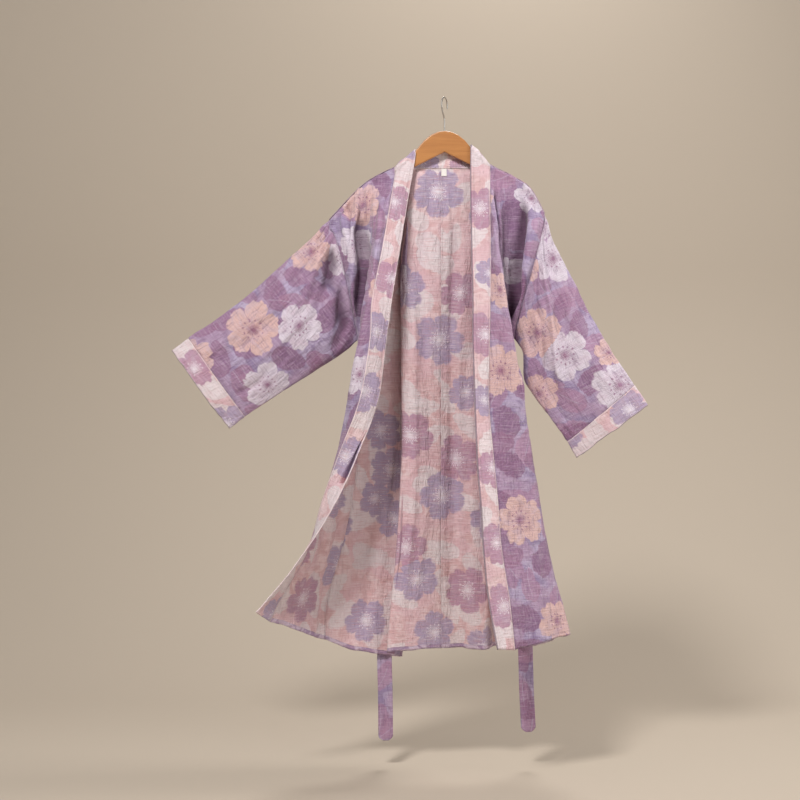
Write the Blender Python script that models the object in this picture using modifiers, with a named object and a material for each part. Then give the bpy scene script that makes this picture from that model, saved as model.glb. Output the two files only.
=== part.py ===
"""Open kimono robe hanging on a flat wooden hanger, built from the pieces a maker would cut.

Every cloth piece is a thin wall worked out from fold lines: each line is one row of a table, and its
columns are named heights down the robe. Sizes in the tables are millimetres. The front faces -Y, +X is
to the right as seen from the front, and the origin is the point where the hook hangs.
"""

import math

import bmesh
import bpy
from mathutils import Vector

MM = 0.001

# Cloth
CLOTH_WALL = 1.5
BAND_WALL = 2.4
CUFF_WALL = 2.0
BELT_WALL = 2.0
SEAM_WALL = 0.8
SEAM_HALF_GAP = 0.18
CORNER_GAPS = 3

# Hanger
BOARD_THICKNESS = 12.0
BOARD_ROUND = 3.0
CLOTH_ABOVE_BOARD = 4.4
CLOTH_BESIDE_BOARD = 1.6
SLOPE_ALLOWANCE = 1.35
WIRE_RADIUS = 1.6
HOOK_RADIUS = 19.5
HOOK_TURN = math.radians(22)
HOOK_TOP = 1.6
STEM_FOOT_GAP = 0.3
HOOK_POINTS = 15
HOOK_START = 217.0
HOOK_SWEEP = 232.0
PAST_TIP = 3.0
PAST_UNDERSIDE = 4.0

# Where cloth turns down from the shoulder line: how far out and how far up, at the edge and below it
OVER_BOARD_EDGE = (9.2, -4.2)
BELOW_BOARD_EDGE = (9.6, -24.0)
OVER_NECK_EDGE = (0.4, -5.0)
BELOW_NECK_EDGE = (1.2, -26.0)
NECK_LIFT_LOST = 0.7

# Belt, loops and label
BELT_WIDTH = 36.0
BELT_LOOK = 30.0
REST_GAP = 0.35
LOOP_WIDTH = 9.0
LOOP_HEIGHT = 64.0
LOOP_TAB = 6.0
LOOP_EASE = 2.0
LOOP_LOOK = 7.0
LABEL_WIDTH = 13.0
LABEL_LENGTH = 18.0
LABEL_WALL = 1.0
LABEL_ASIDE = 7.0
LABEL_GAP = 0.4
LABEL_DROP = 0.6
LABEL_LEAN = 0.2
LABEL_STEPS = 4

# Heights down the robe that every fold line passes through
HEIGHTS = (
    "shoulder", "yoke", "chest", "rib", "underarm", "waist", "hip", "thigh", "knee", "shin", "hem"
)

# Left front, from its free edge to the side seam: x, y, z at each height
LEFT_FREE = (
    (-70, 0, -124), (-87, -12, -242), (-107, -40, -365), (-125, -66, -485), (-137, -68, -578),
    (-158, -80, -719), (-199, -92, -835), (-249, -108, -950), (-318, -120, -1065),
    (-412, -126, -1180), (-438, -132, -1208),
)
LEFT_SEAM = (
    (-119, 0, -169), (-128, -34, -244), (-149, -62, -367), (-172, -85, -486), (-177, -100, -580),
    (-201, -108, -719), (-245, -98, -835), (-287, -80, -952), (-321, -72, -1069),
    (-385, -86, -1185), (-408, -92, -1236),
)
LEFT_RIDGE = (
    (-150, 0, -188), (-155, -48, -260), (-164, -70, -368), (-185, -74, -485), (-200, -86, -579),
    (-229, -72, -719), (-254, -58, -836), (-284, -42, -954), (-309, -35, -1073),
    (-362, -50, -1189), (-378, -54, -1249),
)
LEFT_TROUGH = (
    (-182, 0, -205), (-184, -20, -274), (-189, -22, -368), (-196, -20, -482), (-186, -46, -578),
    (-207, -40, -719), (-234, -24, -837), (-265, -8, -956), (-291, -2, -1076),
    (-336, -18, -1193), (-345, -20, -1266),
)
LEFT_TURN = (
    (-213, 0, -226), (-219, -34, -299), (-217, -42, -384), (-217, -34, -488), (-200, -18, -577),
    (-227, -8, -719), (-240, 10, -838), (-252, 26, -958), (-271, 32, -1079), (-312, 22, -1197),
    (-316, 20, -1283),
)
LEFT_SIDE = (
    (-273, 0, -290), (-261, -16, -330), (-243, -22, -392), (-222, -16, -491), (-207, 2, -576),
    (-199, 28, -719), (-207, 44, -839), (-222, 53, -960), (-248, 58, -1081), (-283, 60, -1202),
    (-287, 60, -1299),
)

# Back, from the left side seam to the right one. The armhole edge is the front's, turned to the back.
BACK_HOLLOW = (
    (-182, 0, -205), (-180, 20, -269), (-180, 30, -364), (-173, 40, -483), (-164, 50, -574),
    (-162, 66, -719), (-167, 76, -840), (-176, 82, -962), (-186, 88, -1084), (-198, 92, -1206),
    (-208, 94, -1330),
)
BACK_ROOT = (
    (-119, 0, -169), (-104, 25, -240), (-89, 40, -358), (-84, 54, -478), (-82, 64, -574),
    (-82, 80, -719), (-84, 90, -840), (-88, 98, -963), (-92, 105, -1085), (-99, 112, -1208),
    (-102, 116, -1346),
)
BACK_LIP = (
    (-80, 10, -167), (-86, 14, -239), (-103, 20, -360), (-106, 28, -479), (-106, 34, -575),
    (-106, 42, -719), (-107, 48, -839), (-112, 52, -960), (-119, 56, -1081), (-128, 60, -1202),
    (-131, 62, -1328),
)
BACK_CENTRE = (
    (-8, 13, -166), (-8, 17, -238), (-8, 26, -359), (-7, 35, -479), (-7, 42, -574), (-7, 54, -719),
    (-7, 62, -840), (-7, 68, -961), (-7, 74, -1082), (-6, 78, -1204), (-6, 80, -1321),
)
BACK_SWELL = (
    (38, 12.5, -166), (38, 18, -240), (38, 28, -360), (38, 38, -480), (39, 46, -575), (40, 60, -719),
    (41, 68, -840), (42, 76, -961), (43, 82, -1082), (44, 86, -1204), (45, 88, -1322),
)
BACK_RIGHT_LIP = (
    (76, 10, -166), (74, 14, -240), (76, 22, -360), (78, 30, -480), (80, 38, -575), (84, 46, -719),
    (88, 50, -840), (92, 54, -961), (96, 58, -1082), (101, 62, -1203), (100, 64, -1322),
)
BACK_RIGHT_ROOT = (
    (108, 0, -163), (112, 24, -240), (112, 48, -360), (112, 68, -480), (112, 84, -575),
    (116, 106, -719), (120, 112, -840), (124, 116, -961), (128, 120, -1082), (132, 122, -1203),
    (136, 124, -1322),
)
BACK_RIGHT_HOLLOW = (
    (163, 0, -190), (160, 18, -252), (158, 34, -360), (152, 46, -480), (146, 52, -575),
    (156, 66, -719), (166, 72, -840), (178, 78, -961), (192, 84, -1082), (204, 88, -1203),
    (212, 90, -1318),
)

# Right front, from the side seam to its free edge
RIGHT_SIDE = (
    (237, 0, -274), (226, -20, -340), (208, -30, -407), (185, -26, -489), (166, 4, -571),
    (164, 28, -719), (180, 40, -839), (205, 50, -960), (227, 58, -1081), (245, 62, -1202),
    (259, 64, -1302),
)
RIGHT_TIP = (
    (203, 0, -215), (204, -28, -274), (193, -42, -358), (179, -38, -472), (164, -18, -577),
    (170, -10, -719), (192, 5, -838), (214, 15, -958), (237, 25, -1078), (258, 28, -1198),
    (275, 30, -1287),
)
RIGHT_TROUGH = (
    (163, 0, -190), (157, -16, -248), (160, -16, -363), (158, -20, -481), (158, -38, -577),
    (179, -46, -719), (199, -28, -837), (219, -18, -956), (243, -8, -1075), (267, -5, -1194),
    (287, -2, -1280),
)
RIGHT_LIP = (
    (126, 0, -172), (115, -36, -245), (127, -68, -368), (141, -86, -486), (158, -92, -579),
    (183, -80, -719), (201, -62, -836), (220, -50, -954), (243, -42, -1072), (268, -38, -1190),
    (286, -36, -1274),
)
RIGHT_SEAM = (
    (108, 0, -163), (107, -30, -244), (108, -54, -367), (106, -70, -485), (104, -78, -579),
    (101, -86, -719), (110, -92, -835), (121, -97, -951), (130, -101, -1067), (148, -106, -1182),
    (160, -108, -1298),
)
RIGHT_FREE = (
    (61, 0, -118), (61, -16, -242), (62, -42, -366), (64, -64, -485), (63, -78, -579),
    (66, -100, -719), (70, -112, -834), (78, -120, -950), (85, -126, -1065), (97, -124, -1180),
    (117, -132, -1294),
)

# Top of the collar band behind the neck, from left to right: x, y, z
NECK_FREE = (
    (-70, 0, -124), (-70, 10.5, -127), (-42, 13.5, -117), (-8, 14, -114), (28, 13.5, -114),
    (60, 10.5, -120), (61, 0, -118),
)

# Sleeve rings: top x, z; underside x, z; how far the front and the back stand from the middle
LEFT_RINGS = (
    (-320, -338, -250, -610, 34),
    (-372, -384, -305, -646, 38),
    (-440, -445, -365, -686, 34),
    (-520, -509, -430, -730, 28),
    (-610, -571, -475, -758, 20),
)
LEFT_CUFF_EDGE = (-651, -599, -513, -787, 17)
RIGHT_RINGS = (
    (256, -338, 188, -607, 34),
    (294, -412, 191, -671, 38),
    (340, -505, 215, -712, 34),
    (390, -590, 252, -762, 28),
    (452, -684, 293, -818, 20),
)
RIGHT_CUFF_EDGE = (484, -731, 316, -857, 17)
RING_STEPS = (0.0, 0.03, 0.09, 0.17, 0.28, 0.41, 0.56, 0.72, 0.87, 1.0)
RING_FULLNESS = 0.62

# Hanger board: half outline from the middle of the dome to the tip, then back under to the middle
BOARD_TOP = ((0, -79), (16, -81), (32, -88), (48, -101), (64, -120), (88, -146), (110, -165.5),
             (122, -172), (162, -191), (187, -207), (200, -219))
BOARD_TIP = ((207, -227), (206, -234), (198, -235))
BOARD_UNDER = ((165, -215), (120, -190), (70, -164), (34, -146), (0, -129))

# Hook's stem above its foot: how far towards the hook's open side, and z
HOOK_STEM = ((0, -66), (0, -56), (1.5, -49), (6.5, -42.5), (12.5, -36))

# Belt: x, z of its middle along the outside of the back, from the left end to the right end
BELT_ROUTE = (
    (-141, -1554), (-142, -1440), (-144, -1345), (-142, -1200), (-136, -1080), (-130, -960),
    (-126, -860), (-125, -800), (-122, -748), (-104, -714), (-62, -702), (20, -708), (75, -710),
    (112, -706), (144, -708), (162, -730), (168, -775), (175, -850), (182, -960), (190, -1090),
    (197, -1220), (201, -1325), (204, -1430), (209, -1532),
)
LEFT_LOOP_AT = (-80, -703)
RIGHT_LOOP_AT = (117, -707)

# Where rows of each panel fall between the heights, and columns between the fold lines
ARM_ROWS = (0, 1, 2, 2.5, 3, 3.6, 4.3, 5, 5.5, 6)
SKIRT_ROWS = (6.5, 7, 7.5, 8, 8.5, 9, 9.5, 10, 10.5, 11, 11.5, 12)
ROWS = ARM_ROWS + SKIRT_ROWS
UNDERARM_ROW = len(ARM_ROWS) - 1
ROWS_OVER_BOARD = 3
SHOULDER_COLUMNS = 12
NECK_SPAN = 3


def edge_at(edge, x):
    """Height of one edge of the hanger's board at a distance from its middle."""
    x = min(max(abs(x), edge[0][0]), edge[-1][0])
    for (x0, z0), (x1, z1) in zip(edge, edge[1:]):
        if x <= x1:
            return z0 + (z1 - z0) * (x - x0) / (x1 - x0)
    return edge[-1][1]


def beside_board(point, side, wall):
    """A point moved out of the hanger's board, over its top edge or out from its face."""
    under = edge_at(BOARD_UNDER[::-1], point.x)
    if abs(point.x) > BOARD_TIP[0][0] + PAST_TIP or point.z < under - PAST_UNDERSIDE:
        return point
    face = BOARD_THICKNESS / 2
    clear = wall / 2 + CLOTH_BESIDE_BOARD
    above = point.z - edge_at(BOARD_TOP, point.x)
    beyond = max(side * point.y - face, 0)
    if above <= 0:
        return Vector((point.x, side * (face + max(beyond, clear)), point.z))
    short = clear * SLOPE_ALLOWANCE / math.hypot(above, beyond)
    if short <= 1:
        return point
    y = side * (face + beyond * short) if beyond else point.y
    return Vector((point.x, y, point.z + above * (short - 1)))


def spline(points, t):
    """Point of a smooth curve through all the points; whole values of t are the points themselves."""
    last = len(points) - 1
    i = min(max(int(math.floor(t)), 0), last - 1)
    f = t - i
    b, c = Vector(points[i]), Vector(points[i + 1])
    a = Vector(points[i - 1]) if i > 0 else b * 2 - c
    d = Vector(points[i + 2]) if i + 2 <= last else c * 2 - b
    return 0.5 * ((2 * b) + (c - a) * f + (2 * a - 5 * b + 4 * c - d) * f ** 2
                  + (3 * b - a - 3 * c + d) * f ** 3)


def on_board(point):
    """A point of the shoulder line, lifted clear of the hanger."""
    x, y, z = point
    if abs(x) > BOARD_TOP[-1][0]:
        return Vector((x, 0, z))
    return Vector((x, 0, edge_at(BOARD_TOP, x) + CLOTH_ABOVE_BOARD))


def hung(line, side):
    """A fold line with two more heights, where the cloth turns down over the hanger's board.

    side is -1 on the front and 1 on the back.
    """
    top = Vector(line[0])
    over, below = OVER_NECK_EDGE, BELOW_NECK_EDGE
    if abs(top.y) < 1:
        top = on_board(top)
        over, below = OVER_BOARD_EDGE, BELOW_BOARD_EDGE
    turned = [top + Vector((0, side * out, up)) for out, up in (over, below)]
    return [top] + turned + [Vector(p) for p in line[1:]]


def back_edge(side_line):
    """The armhole edge of the back: the front's edge mirrored in depth down to the underarm."""
    underarm = HEIGHTS.index("underarm")
    return [
        (x, -y, z) if i < underarm else (x, y, z) for i, (x, y, z) in enumerate(side_line)
    ]


def panel(lines, counts, side):
    """Grid of points: a row for each height step, and counts[i] columns from line i to the next."""
    tall = [hung(line, side) for line in lines]
    grid = []
    for row in ROWS:
        across = [spline(line, row) for line in tall]
        cells = [across[0]]
        for i, count in enumerate(counts):
            cells += [spline(across, i + (k + 1) / count) for k in range(count)]
        grid.append([beside_board(p, side, CLOTH_WALL) for p in cells] if row else cells)
    return grid


def ring(row, count):
    """One sleeve section: from the underside up the front, over the top and down the back."""
    top_x, top_z, under_x, under_z, bulge = row
    top, under = Vector((top_x, 0, top_z)), Vector((under_x, 0, under_z))
    steps = [RING_STEPS[-1 - k] for k in range(count)] + list(RING_STEPS[:count])
    points = []
    for k, q in enumerate(steps):
        front = k < count
        out = bulge * math.sin(math.pi * q) ** RING_FULLNESS * (-1 if front else 1)
        points.append(top.lerp(under, q) + Vector((0, out, 0)))
    return points[:count - 1] + [top] + points[count + 1:-1]


def armhole(front_column, back_column):
    """The armhole as a ring of points, in a sleeve section's order."""
    front = [p.copy() for p in front_column[UNDERARM_ROW::-1]]
    back = [p.copy() for p in back_column[1:UNDERARM_ROW]]
    return front + back


def sleeve(front_column, back_column, rows):
    """Rings from the armhole to the cuff's seam."""
    start = armhole(front_column, back_column)
    rings = [start] + [ring(row, UNDERARM_ROW + 1) for row in rows]
    steps = len(rings) * 2 - 1
    tall = list(zip(*rings))
    return [
        [spline(line, i * (len(rings) - 1) / (steps - 1)) for line in tall] for i in range(steps)
    ]


def cuff(seam_ring, edge_row):
    """Rings from the cuff's seam to its edge."""
    edge = ring(edge_row, UNDERARM_ROW + 1)
    return [[a.lerp(b, f) for a, b in zip(seam_ring, edge)] for f in (0, 0.5, 1)]


def band_rows(seam, free, columns):
    """A strip: a row for each point along the seam, and columns out to the free edge."""
    return [[a.lerp(b, c / columns) for c in range(columns + 1)] for a, b in zip(seam, free)]


class Sheet:
    """A grid of points in the middle of one cloth wall, with the side that faces out."""

    def __init__(self, name, grid, wall, out, closed=False, material="robe_cloth"):
        self.name, self.grid, self.wall, self.out = name, grid, wall, out
        self.closed, self.material = closed, material

    def cells(self):
        """Corner addresses of each cell, in one turning sense."""
        rows, columns = len(self.grid), len(self.grid[0])
        wrap = columns if self.closed else columns - 1
        for r in range(rows - 1):
            for c in range(wrap):
                d = (c + 1) % columns
                yield (r, c), (r, d), (r + 1, d), (r + 1, c)

    def at(self, address):
        return self.grid[address[0]][address[1]]

    def halves(self, cell):
        """A cell as two triangles, split along its shorter diagonal."""
        a, b, c, d = cell
        if (self.at(a) - self.at(c)).length <= (self.at(b) - self.at(d)).length:
            return (a, b, c), (a, c, d)
        return (b, c, d), (b, d, a)


def spot(point):
    """The same key for points that lie together."""
    return tuple(round(v, 2) for v in point)


def wall_directions(sheets):
    """Outward direction at each point, shared evenly by the pieces sewn together there."""
    shared = {}
    pieces = {}
    for sheet in sheets:
        own = {}
        for a, b, c, d in sheet.cells():
            pa, pb, pc, pd = (sheet.at(i) for i in (a, b, c, d))
            normal = (pc - pa).cross(pd - pb) * sheet.out
            for p in (pa, pb, pc, pd):
                own[spot(p)] = own.get(spot(p), Vector()) + normal
        for key, normal in own.items():
            shared[key] = shared.get(key, Vector()) + normal.normalized()
            pieces[key] = pieces.get(key, 0) + 1
    return {key: (v.normalized(), pieces[key]) for key, v in shared.items()}


def drawn_in(sheet, directions):
    """The grid with its border pulled in by half a seam's gap, and further where three pieces meet."""
    rows, columns = len(sheet.grid), len(sheet.grid[0])
    moved = [[p.copy() for p in row] for row in sheet.grid]

    def pull(edge, inner, before, after):
        start = sheet.at(edge)
        step, along = sheet.at(inner) - start, (sheet.at(after) - sheet.at(before)).normalized()
        gap = SEAM_HALF_GAP * (CORNER_GAPS if directions[spot(start)][1] > 2 else 1)
        moved[edge[0]][edge[1]] += (step - along * step.dot(along)).normalized() * gap

    for c in range(columns):
        before, after = max(c - 1, 0), min(c + 1, columns - 1)
        for edge, inner in ((0, 1), (rows - 1, rows - 2)):
            pull((edge, c), (inner, c), (edge, before), (edge, after))
    if not sheet.closed:
        for r in range(rows):
            before, after = max(r - 1, 0), min(r + 1, rows - 1)
            for edge, inner in ((0, 1), (columns - 1, columns - 2)):
                pull((r, edge), (r, inner), (before, edge), (after, edge))
    return moved


def make_wall(sheet, directions, collection):
    """Solid cloth wall from a sheet: both faces, and edges where the sheet ends."""
    grid = drawn_in(sheet, directions)
    bm = bmesh.new()
    outer, inner = {}, {}
    for r, row in enumerate(grid):
        for c, p in enumerate(row):
            out, pieces = directions[spot(sheet.grid[r][c])]
            out = out * ((SEAM_WALL if pieces > 1 else sheet.wall) / 2)
            outer[r, c] = bm.verts.new((p + out) * MM)
            inner[r, c] = bm.verts.new((p - out) * MM)
    edges = set()
    for cell in sheet.cells():
        for half in sheet.halves(cell):
            corners = half if sheet.out > 0 else half[::-1]
            bm.faces.new([outer[i] for i in corners])
            bm.faces.new([inner[i] for i in reversed(corners)])
            edges.update(zip(corners, corners[1:] + corners[:1]))
    for a, b in edges:
        if (b, a) not in edges:
            bm.faces.new([outer[b], outer[a], inner[a]])
            bm.faces.new([outer[b], inner[a], inner[b]])
    return add_object(sheet.name, bm, collection, sheet.material)


def add_object(name, bm, collection, material):
    """Object from a bmesh, with its material, shaded smooth but for sharp edges."""
    mesh = bpy.data.meshes.new(name)
    bm.to_mesh(mesh)
    bm.free()
    mesh.shade_smooth()
    mesh.set_sharp_from_angle(angle=math.radians(50))
    mesh.materials.append(material_named(material))
    obj = bpy.data.objects.new(name, mesh)
    collection.objects.link(obj)
    return obj


MATERIALS = {
    "robe_cloth": ((0.46, 0.33, 0.50), 0.9, 0.0),
    "band_cloth": ((0.72, 0.60, 0.62), 0.9, 0.0),
    "hanger_wood": ((0.55, 0.26, 0.07), 0.4, 0.0),
    "hook_metal": ((0.75, 0.73, 0.70), 0.25, 1.0),
    "label_cloth": ((0.86, 0.82, 0.76), 0.8, 0.0),
}


def material_named(name):
    """One plain Principled material for each finish."""
    if name in bpy.data.materials:
        return bpy.data.materials[name]
    colour, roughness, metallic = MATERIALS[name]
    material = bpy.data.materials.new(name)
    material.use_nodes = True
    shader = material.node_tree.nodes["Principled BSDF"]
    shader.inputs["Base Color"].default_value = (*colour, 1)
    shader.inputs["Roughness"].default_value = roughness
    shader.inputs["Metallic"].default_value = metallic
    return material


def body_panels():
    """The two fronts and the two backs as grids, sharing their seam points."""
    half = SHOULDER_COLUMNS
    quarter = SHOULDER_COLUMNS // 4
    left_back_edge, right_back_edge = back_edge(LEFT_SIDE), back_edge(RIGHT_SIDE)
    front_left = panel(
        (LEFT_SEAM, LEFT_RIDGE, LEFT_TROUGH, LEFT_TURN, LEFT_SIDE), (quarter,) * 4, -1
    )
    front_right = panel(
        (RIGHT_SEAM, RIGHT_LIP, RIGHT_TROUGH, RIGHT_TIP, RIGHT_SIDE), (quarter,) * 4, -1
    )
    back_left = panel(
        (BACK_CENTRE, BACK_LIP, BACK_ROOT, BACK_HOLLOW, left_back_edge),
        (NECK_SPAN, NECK_SPAN, half // 2, half // 2), 1,
    )
    back_right = panel(
        (BACK_CENTRE, BACK_SWELL, BACK_RIGHT_LIP, BACK_RIGHT_ROOT, BACK_RIGHT_HOLLOW, right_back_edge),
        (NECK_SPAN - 1, NECK_SPAN - 1, NECK_SPAN, half // 2, half // 2), 1,
    )
    for front, back in ((front_left, back_left), (front_right, back_right)):
        for r in range(ROWS_OVER_BOARD):
            for k in range(half + 1):
                x, y, z = front[r][k]
                back[r][-1 - half + k] = Vector((x, -y, z))
        for k in range(NECK_SPAN - 1):
            seam = back[0][-2 - half - k]
            lift = edge_at(BOARD_TOP, seam.x) + CLOTH_ABOVE_BOARD - seam.z
            for row in back[:2]:
                x, y, z = row[-2 - half - k]
                risen = z + max(lift, 0) * (1 - k * NECK_LIFT_LOST)
                raised = Vector((x, max(y, OVER_BOARD_EDGE[0]), risen))
                row[-2 - half - k] = beside_board(raised, 1, BAND_WALL)
        for r in range(UNDERARM_ROW, len(ROWS)):
            back[r][-1] = front[r][-1].copy()
    for r in range(len(ROWS)):
        back_right[r][0] = back_left[r][0].copy()
    return front_left, front_right, back_left, back_right


def collar_band(front_left, front_right, back_left, back_right):
    """The long band: up the left front, round the neck and down the right front."""
    half = SHOULDER_COLUMNS
    left_seam = [row[0] for row in reversed(front_left)]
    right_seam = [row[0] for row in front_right]
    neck_left = back_left[0][:-1 - half][::-1]
    neck_right = back_right[0][1:-1 - half]
    seam = left_seam + neck_left + neck_right + right_seam
    left_free, right_free = hung(LEFT_FREE, -1), hung(RIGHT_FREE, -1)
    free = [spline(left_free, row) for row in reversed(ROWS)]
    neck_count = len(neck_left) + len(neck_right)
    last = len(NECK_FREE) - 1
    free += [
        beside_board(spline(NECK_FREE, (k + 1) * last / (neck_count + 1)), 1, BAND_WALL)
        for k in range(neck_count)
    ]
    free += [spline(right_free, row) for row in ROWS]
    band = band_rows([p.copy() for p in seam], free, 3)
    first, last = len(left_seam), len(left_seam) + neck_count
    for r, row in enumerate(band):
        side = 1 if first <= r < last else -1
        if r not in (first - 1, last):
            row[1:] = [beside_board(p, side, BAND_WALL) for p in row[1:]]
    return band


def build_cloth(collection):
    """All the cut and sewn pieces that meet at seams."""
    front_left, front_right, back_left, back_right = body_panels()
    sleeve_left = sleeve(
        [row[-1] for row in front_left], [row[-1] for row in back_left], LEFT_RINGS
    )
    sleeve_right = sleeve(
        [row[-1] for row in front_right], [row[-1] for row in back_right], RIGHT_RINGS
    )
    cuff_left = cuff([p.copy() for p in sleeve_left[-1]], LEFT_CUFF_EDGE)
    cuff_right = cuff([p.copy() for p in sleeve_right[-1]], RIGHT_CUFF_EDGE)
    band = collar_band(front_left, front_right, back_left, back_right)
    sheets = [
        Sheet("front_left", front_left, CLOTH_WALL, 1),
        Sheet("front_right", front_right, CLOTH_WALL, -1),
        Sheet("back_left", back_left, CLOTH_WALL, -1),
        Sheet("back_right", back_right, CLOTH_WALL, 1),
        Sheet("sleeve_left", sleeve_left, CLOTH_WALL, 1, True),
        Sheet("sleeve_right", sleeve_right, CLOTH_WALL, -1, True),
        Sheet("cuff_left", cuff_left, CUFF_WALL, 1, True, "band_cloth"),
        Sheet("cuff_right", cuff_right, CUFF_WALL, -1, True, "band_cloth"),
        Sheet("collar_band", band, BAND_WALL, 1, False, "band_cloth"),
    ]
    directions = wall_directions(sheets)
    for sheet in sheets:
        make_wall(sheet, directions, collection)
    return {sheet.name: sheet for sheet in sheets}


def strip(name, path, faces_out, width, wall, collection, material):
    """A flat strip along a path, lying square to the direction that faces out."""
    grid = []
    for i, p in enumerate(path):
        ahead = path[min(i + 1, len(path) - 1)] - path[max(i - 1, 0)]
        side = ahead.cross(faces_out[i]).normalized() * (width / 2)
        grid.append([p - side, p.copy(), p + side])
    sheet = Sheet(name, grid, wall, 1, False, material)
    make_wall(sheet, wall_directions([sheet]), collection)


def outside_of_back(sheets, x, z):
    """How far back the outside of the back reaches at one place, or None past its edges."""
    deepest = None
    for name in ("back_left", "back_right"):
        sheet = sheets[name]
        for cell in sheet.cells():
            for half in sheet.halves(cell):
                p, q, r = (sheet.at(i) for i in half)
                area = (q.x - p.x) * (r.z - p.z) - (q.z - p.z) * (r.x - p.x)
                if abs(area) < 1e-6:
                    continue
                u = ((x - p.x) * (r.z - p.z) - (z - p.z) * (r.x - p.x)) / area
                v = ((q.x - p.x) * (z - p.z) - (q.z - p.z) * (x - p.x)) / area
                if u >= 0 and v >= 0 and u + v <= 1:
                    y = p.y + (q.y - p.y) * u + (r.y - p.y) * v
                    deepest = y if deepest is None else max(deepest, y)
    return deepest


def behind_back(sheets, x, z, across, up):
    """The depth that clears the back all over a patch of it."""
    steps = (-1, -0.67, -0.33, 0, 0.33, 0.67, 1)
    depths = [outside_of_back(sheets, x + i * across, z + k * up) for i in steps for k in steps]
    known = [depth for depth in depths if depth is not None]
    return max(known) + CLOTH_WALL / 2 if known else None


def belt_path(sheets):
    """The middle of the belt, laid on the outside of the back."""
    flat = [spline([(x, 0, z) for x, z in BELT_ROUTE], i / 2) for i in range(len(BELT_ROUTE) * 2 - 1)]
    path = []
    for p in flat:
        depth = behind_back(sheets, p.x, p.z, BELT_LOOK, BELT_LOOK)
        path.append(Vector((p.x, depth, p.z)) if depth is not None else p)
    resting = [p.y for p in path if p.y > 0]
    for p in path:
        if p.y == 0:
            p.y = resting[0] if p.x < 0 else resting[-1]
        p.y += REST_GAP + BELT_WALL / 2
    return path


def build_belt(path, collection):
    """The belt behind the robe, with its two hanging ends."""
    outward = [Vector((0, 1, 0))] * len(path)
    strip("belt", path, outward, BELT_WIDTH, BELT_WALL, collection, "robe_cloth")


def build_loop(name, at, path, sheets, collection):
    """A belt loop: a narrow strip over the belt, with its two ends on the back."""
    x, z = at
    belt_depth = max(p.y for p in path if abs(p.x - x) < BELT_LOOK and abs(p.z - z) < BELT_LOOK)
    over = belt_depth + BELT_WALL / 2 + REST_GAP + CLOTH_WALL / 2
    ends = LOOP_HEIGHT / 2
    tab = ends - LOOP_TAB
    bridge = BELT_WIDTH / 2 + LOOP_EASE
    points = []
    for height in (ends, tab, bridge, 0, -bridge, -tab, -ends):
        seat = behind_back(sheets, x, z + height, LOOP_WIDTH / 2, LOOP_LOOK) + REST_GAP
        depth = over if abs(height) <= bridge else seat + CLOTH_WALL / 2
        points.append(Vector((x, depth, z + height)))
    outward = [Vector((0, 1, 0))] * len(points)
    strip(name, points, outward, LOOP_WIDTH, CLOTH_WALL, collection, "robe_cloth")


def build_label(sheets, collection):
    """The blank loop label that hangs inside from the neck seam."""
    neck = sheets["back_left"].grid[0][0]
    inside = -(CLOTH_WALL / 2 + LABEL_WALL / 2 + LABEL_GAP)
    top = neck + Vector((LABEL_ASIDE, inside, -LABEL_DROP))
    step = Vector((0, -LABEL_LEAN, -LABEL_LENGTH / LABEL_STEPS))
    path = [top + step * k for k in range(LABEL_STEPS + 1)]
    outward = [Vector((0, 1, 0))] * len(path)
    strip("neck_label", path, outward, LABEL_WIDTH, LABEL_WALL, collection, "label_cloth")


def build_hanger(collection):
    """The flat wooden board and its wire hook."""
    right = list(BOARD_TOP) + list(BOARD_TIP) + list(BOARD_UNDER)
    left = [(-x, z) for x, z in reversed(right) if x > 0]
    bm = bmesh.new()
    outline = [bm.verts.new((x * MM, 0, z * MM)) for x, z in right + left]
    bm.faces.new(outline)
    board = add_object("hanger_bar", bm, collection, "hanger_wood")
    solidify = board.modifiers.new("thickness", "SOLIDIFY")
    solidify.thickness = BOARD_THICKNESS * MM
    solidify.offset = 0
    bevel = board.modifiers.new("rounded edges", "BEVEL")
    bevel.width = BOARD_ROUND * MM
    bevel.segments = 2
    bevel.limit_method = "ANGLE"
    bevel.angle_limit = math.radians(60)

    across = Vector((-math.sin(HOOK_TURN), -math.cos(HOOK_TURN), 0))
    foot = BOARD_TOP[0][1] + STEM_FOOT_GAP
    centre = HOOK_TOP - HOOK_RADIUS
    turn = []
    for k in range(HOOK_POINTS):
        angle = math.radians(HOOK_START - k * HOOK_SWEEP / (HOOK_POINTS - 1))
        turn.append((-HOOK_RADIUS * math.cos(angle), centre + HOOK_RADIUS * math.sin(angle)))
    route = [(0, foot)] + list(HOOK_STEM) + turn
    curve = bpy.data.curves.new("hanger_hook", "CURVE")
    curve.dimensions = "3D"
    line = curve.splines.new("POLY")
    line.points.add(len(route) - 1)
    for point, (reach, z) in zip(line.points, route):
        x, y, _ = across * reach
        point.co = (x * MM, y * MM, z * MM, 1)
    curve.bevel_depth = WIRE_RADIUS * MM
    curve.bevel_resolution = 2
    curve.use_fill_caps = True
    curve.materials.append(material_named("hook_metal"))
    hook = bpy.data.objects.new("hanger_hook", curve)
    collection.objects.link(hook)


def main():
    for obj in list(bpy.data.objects):
        bpy.data.objects.remove(obj, do_unlink=True)
    collection = bpy.data.collections.new("kimono robe on a wooden hanger")
    bpy.context.scene.collection.children.link(collection)
    sheets = build_cloth(collection)
    path = belt_path(sheets)
    build_belt(path, collection)
    build_loop("belt_loop_left", LEFT_LOOP_AT, path, sheets, collection)
    build_loop("belt_loop_right", RIGHT_LOOP_AT, path, sheets, collection)
    build_label(sheets, collection)
    build_hanger(collection)


main()
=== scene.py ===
"""Looks of the open kimono robe: crinkled double cloth with a blossom print, on a wooden hanger.

The forms follow the same fold lines as the solids, drawn finer, with the creases, seams and hems of cloth.
Sizes are in millimetres, those of the studio in metres, and the front faces -Y.
"""

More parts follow.
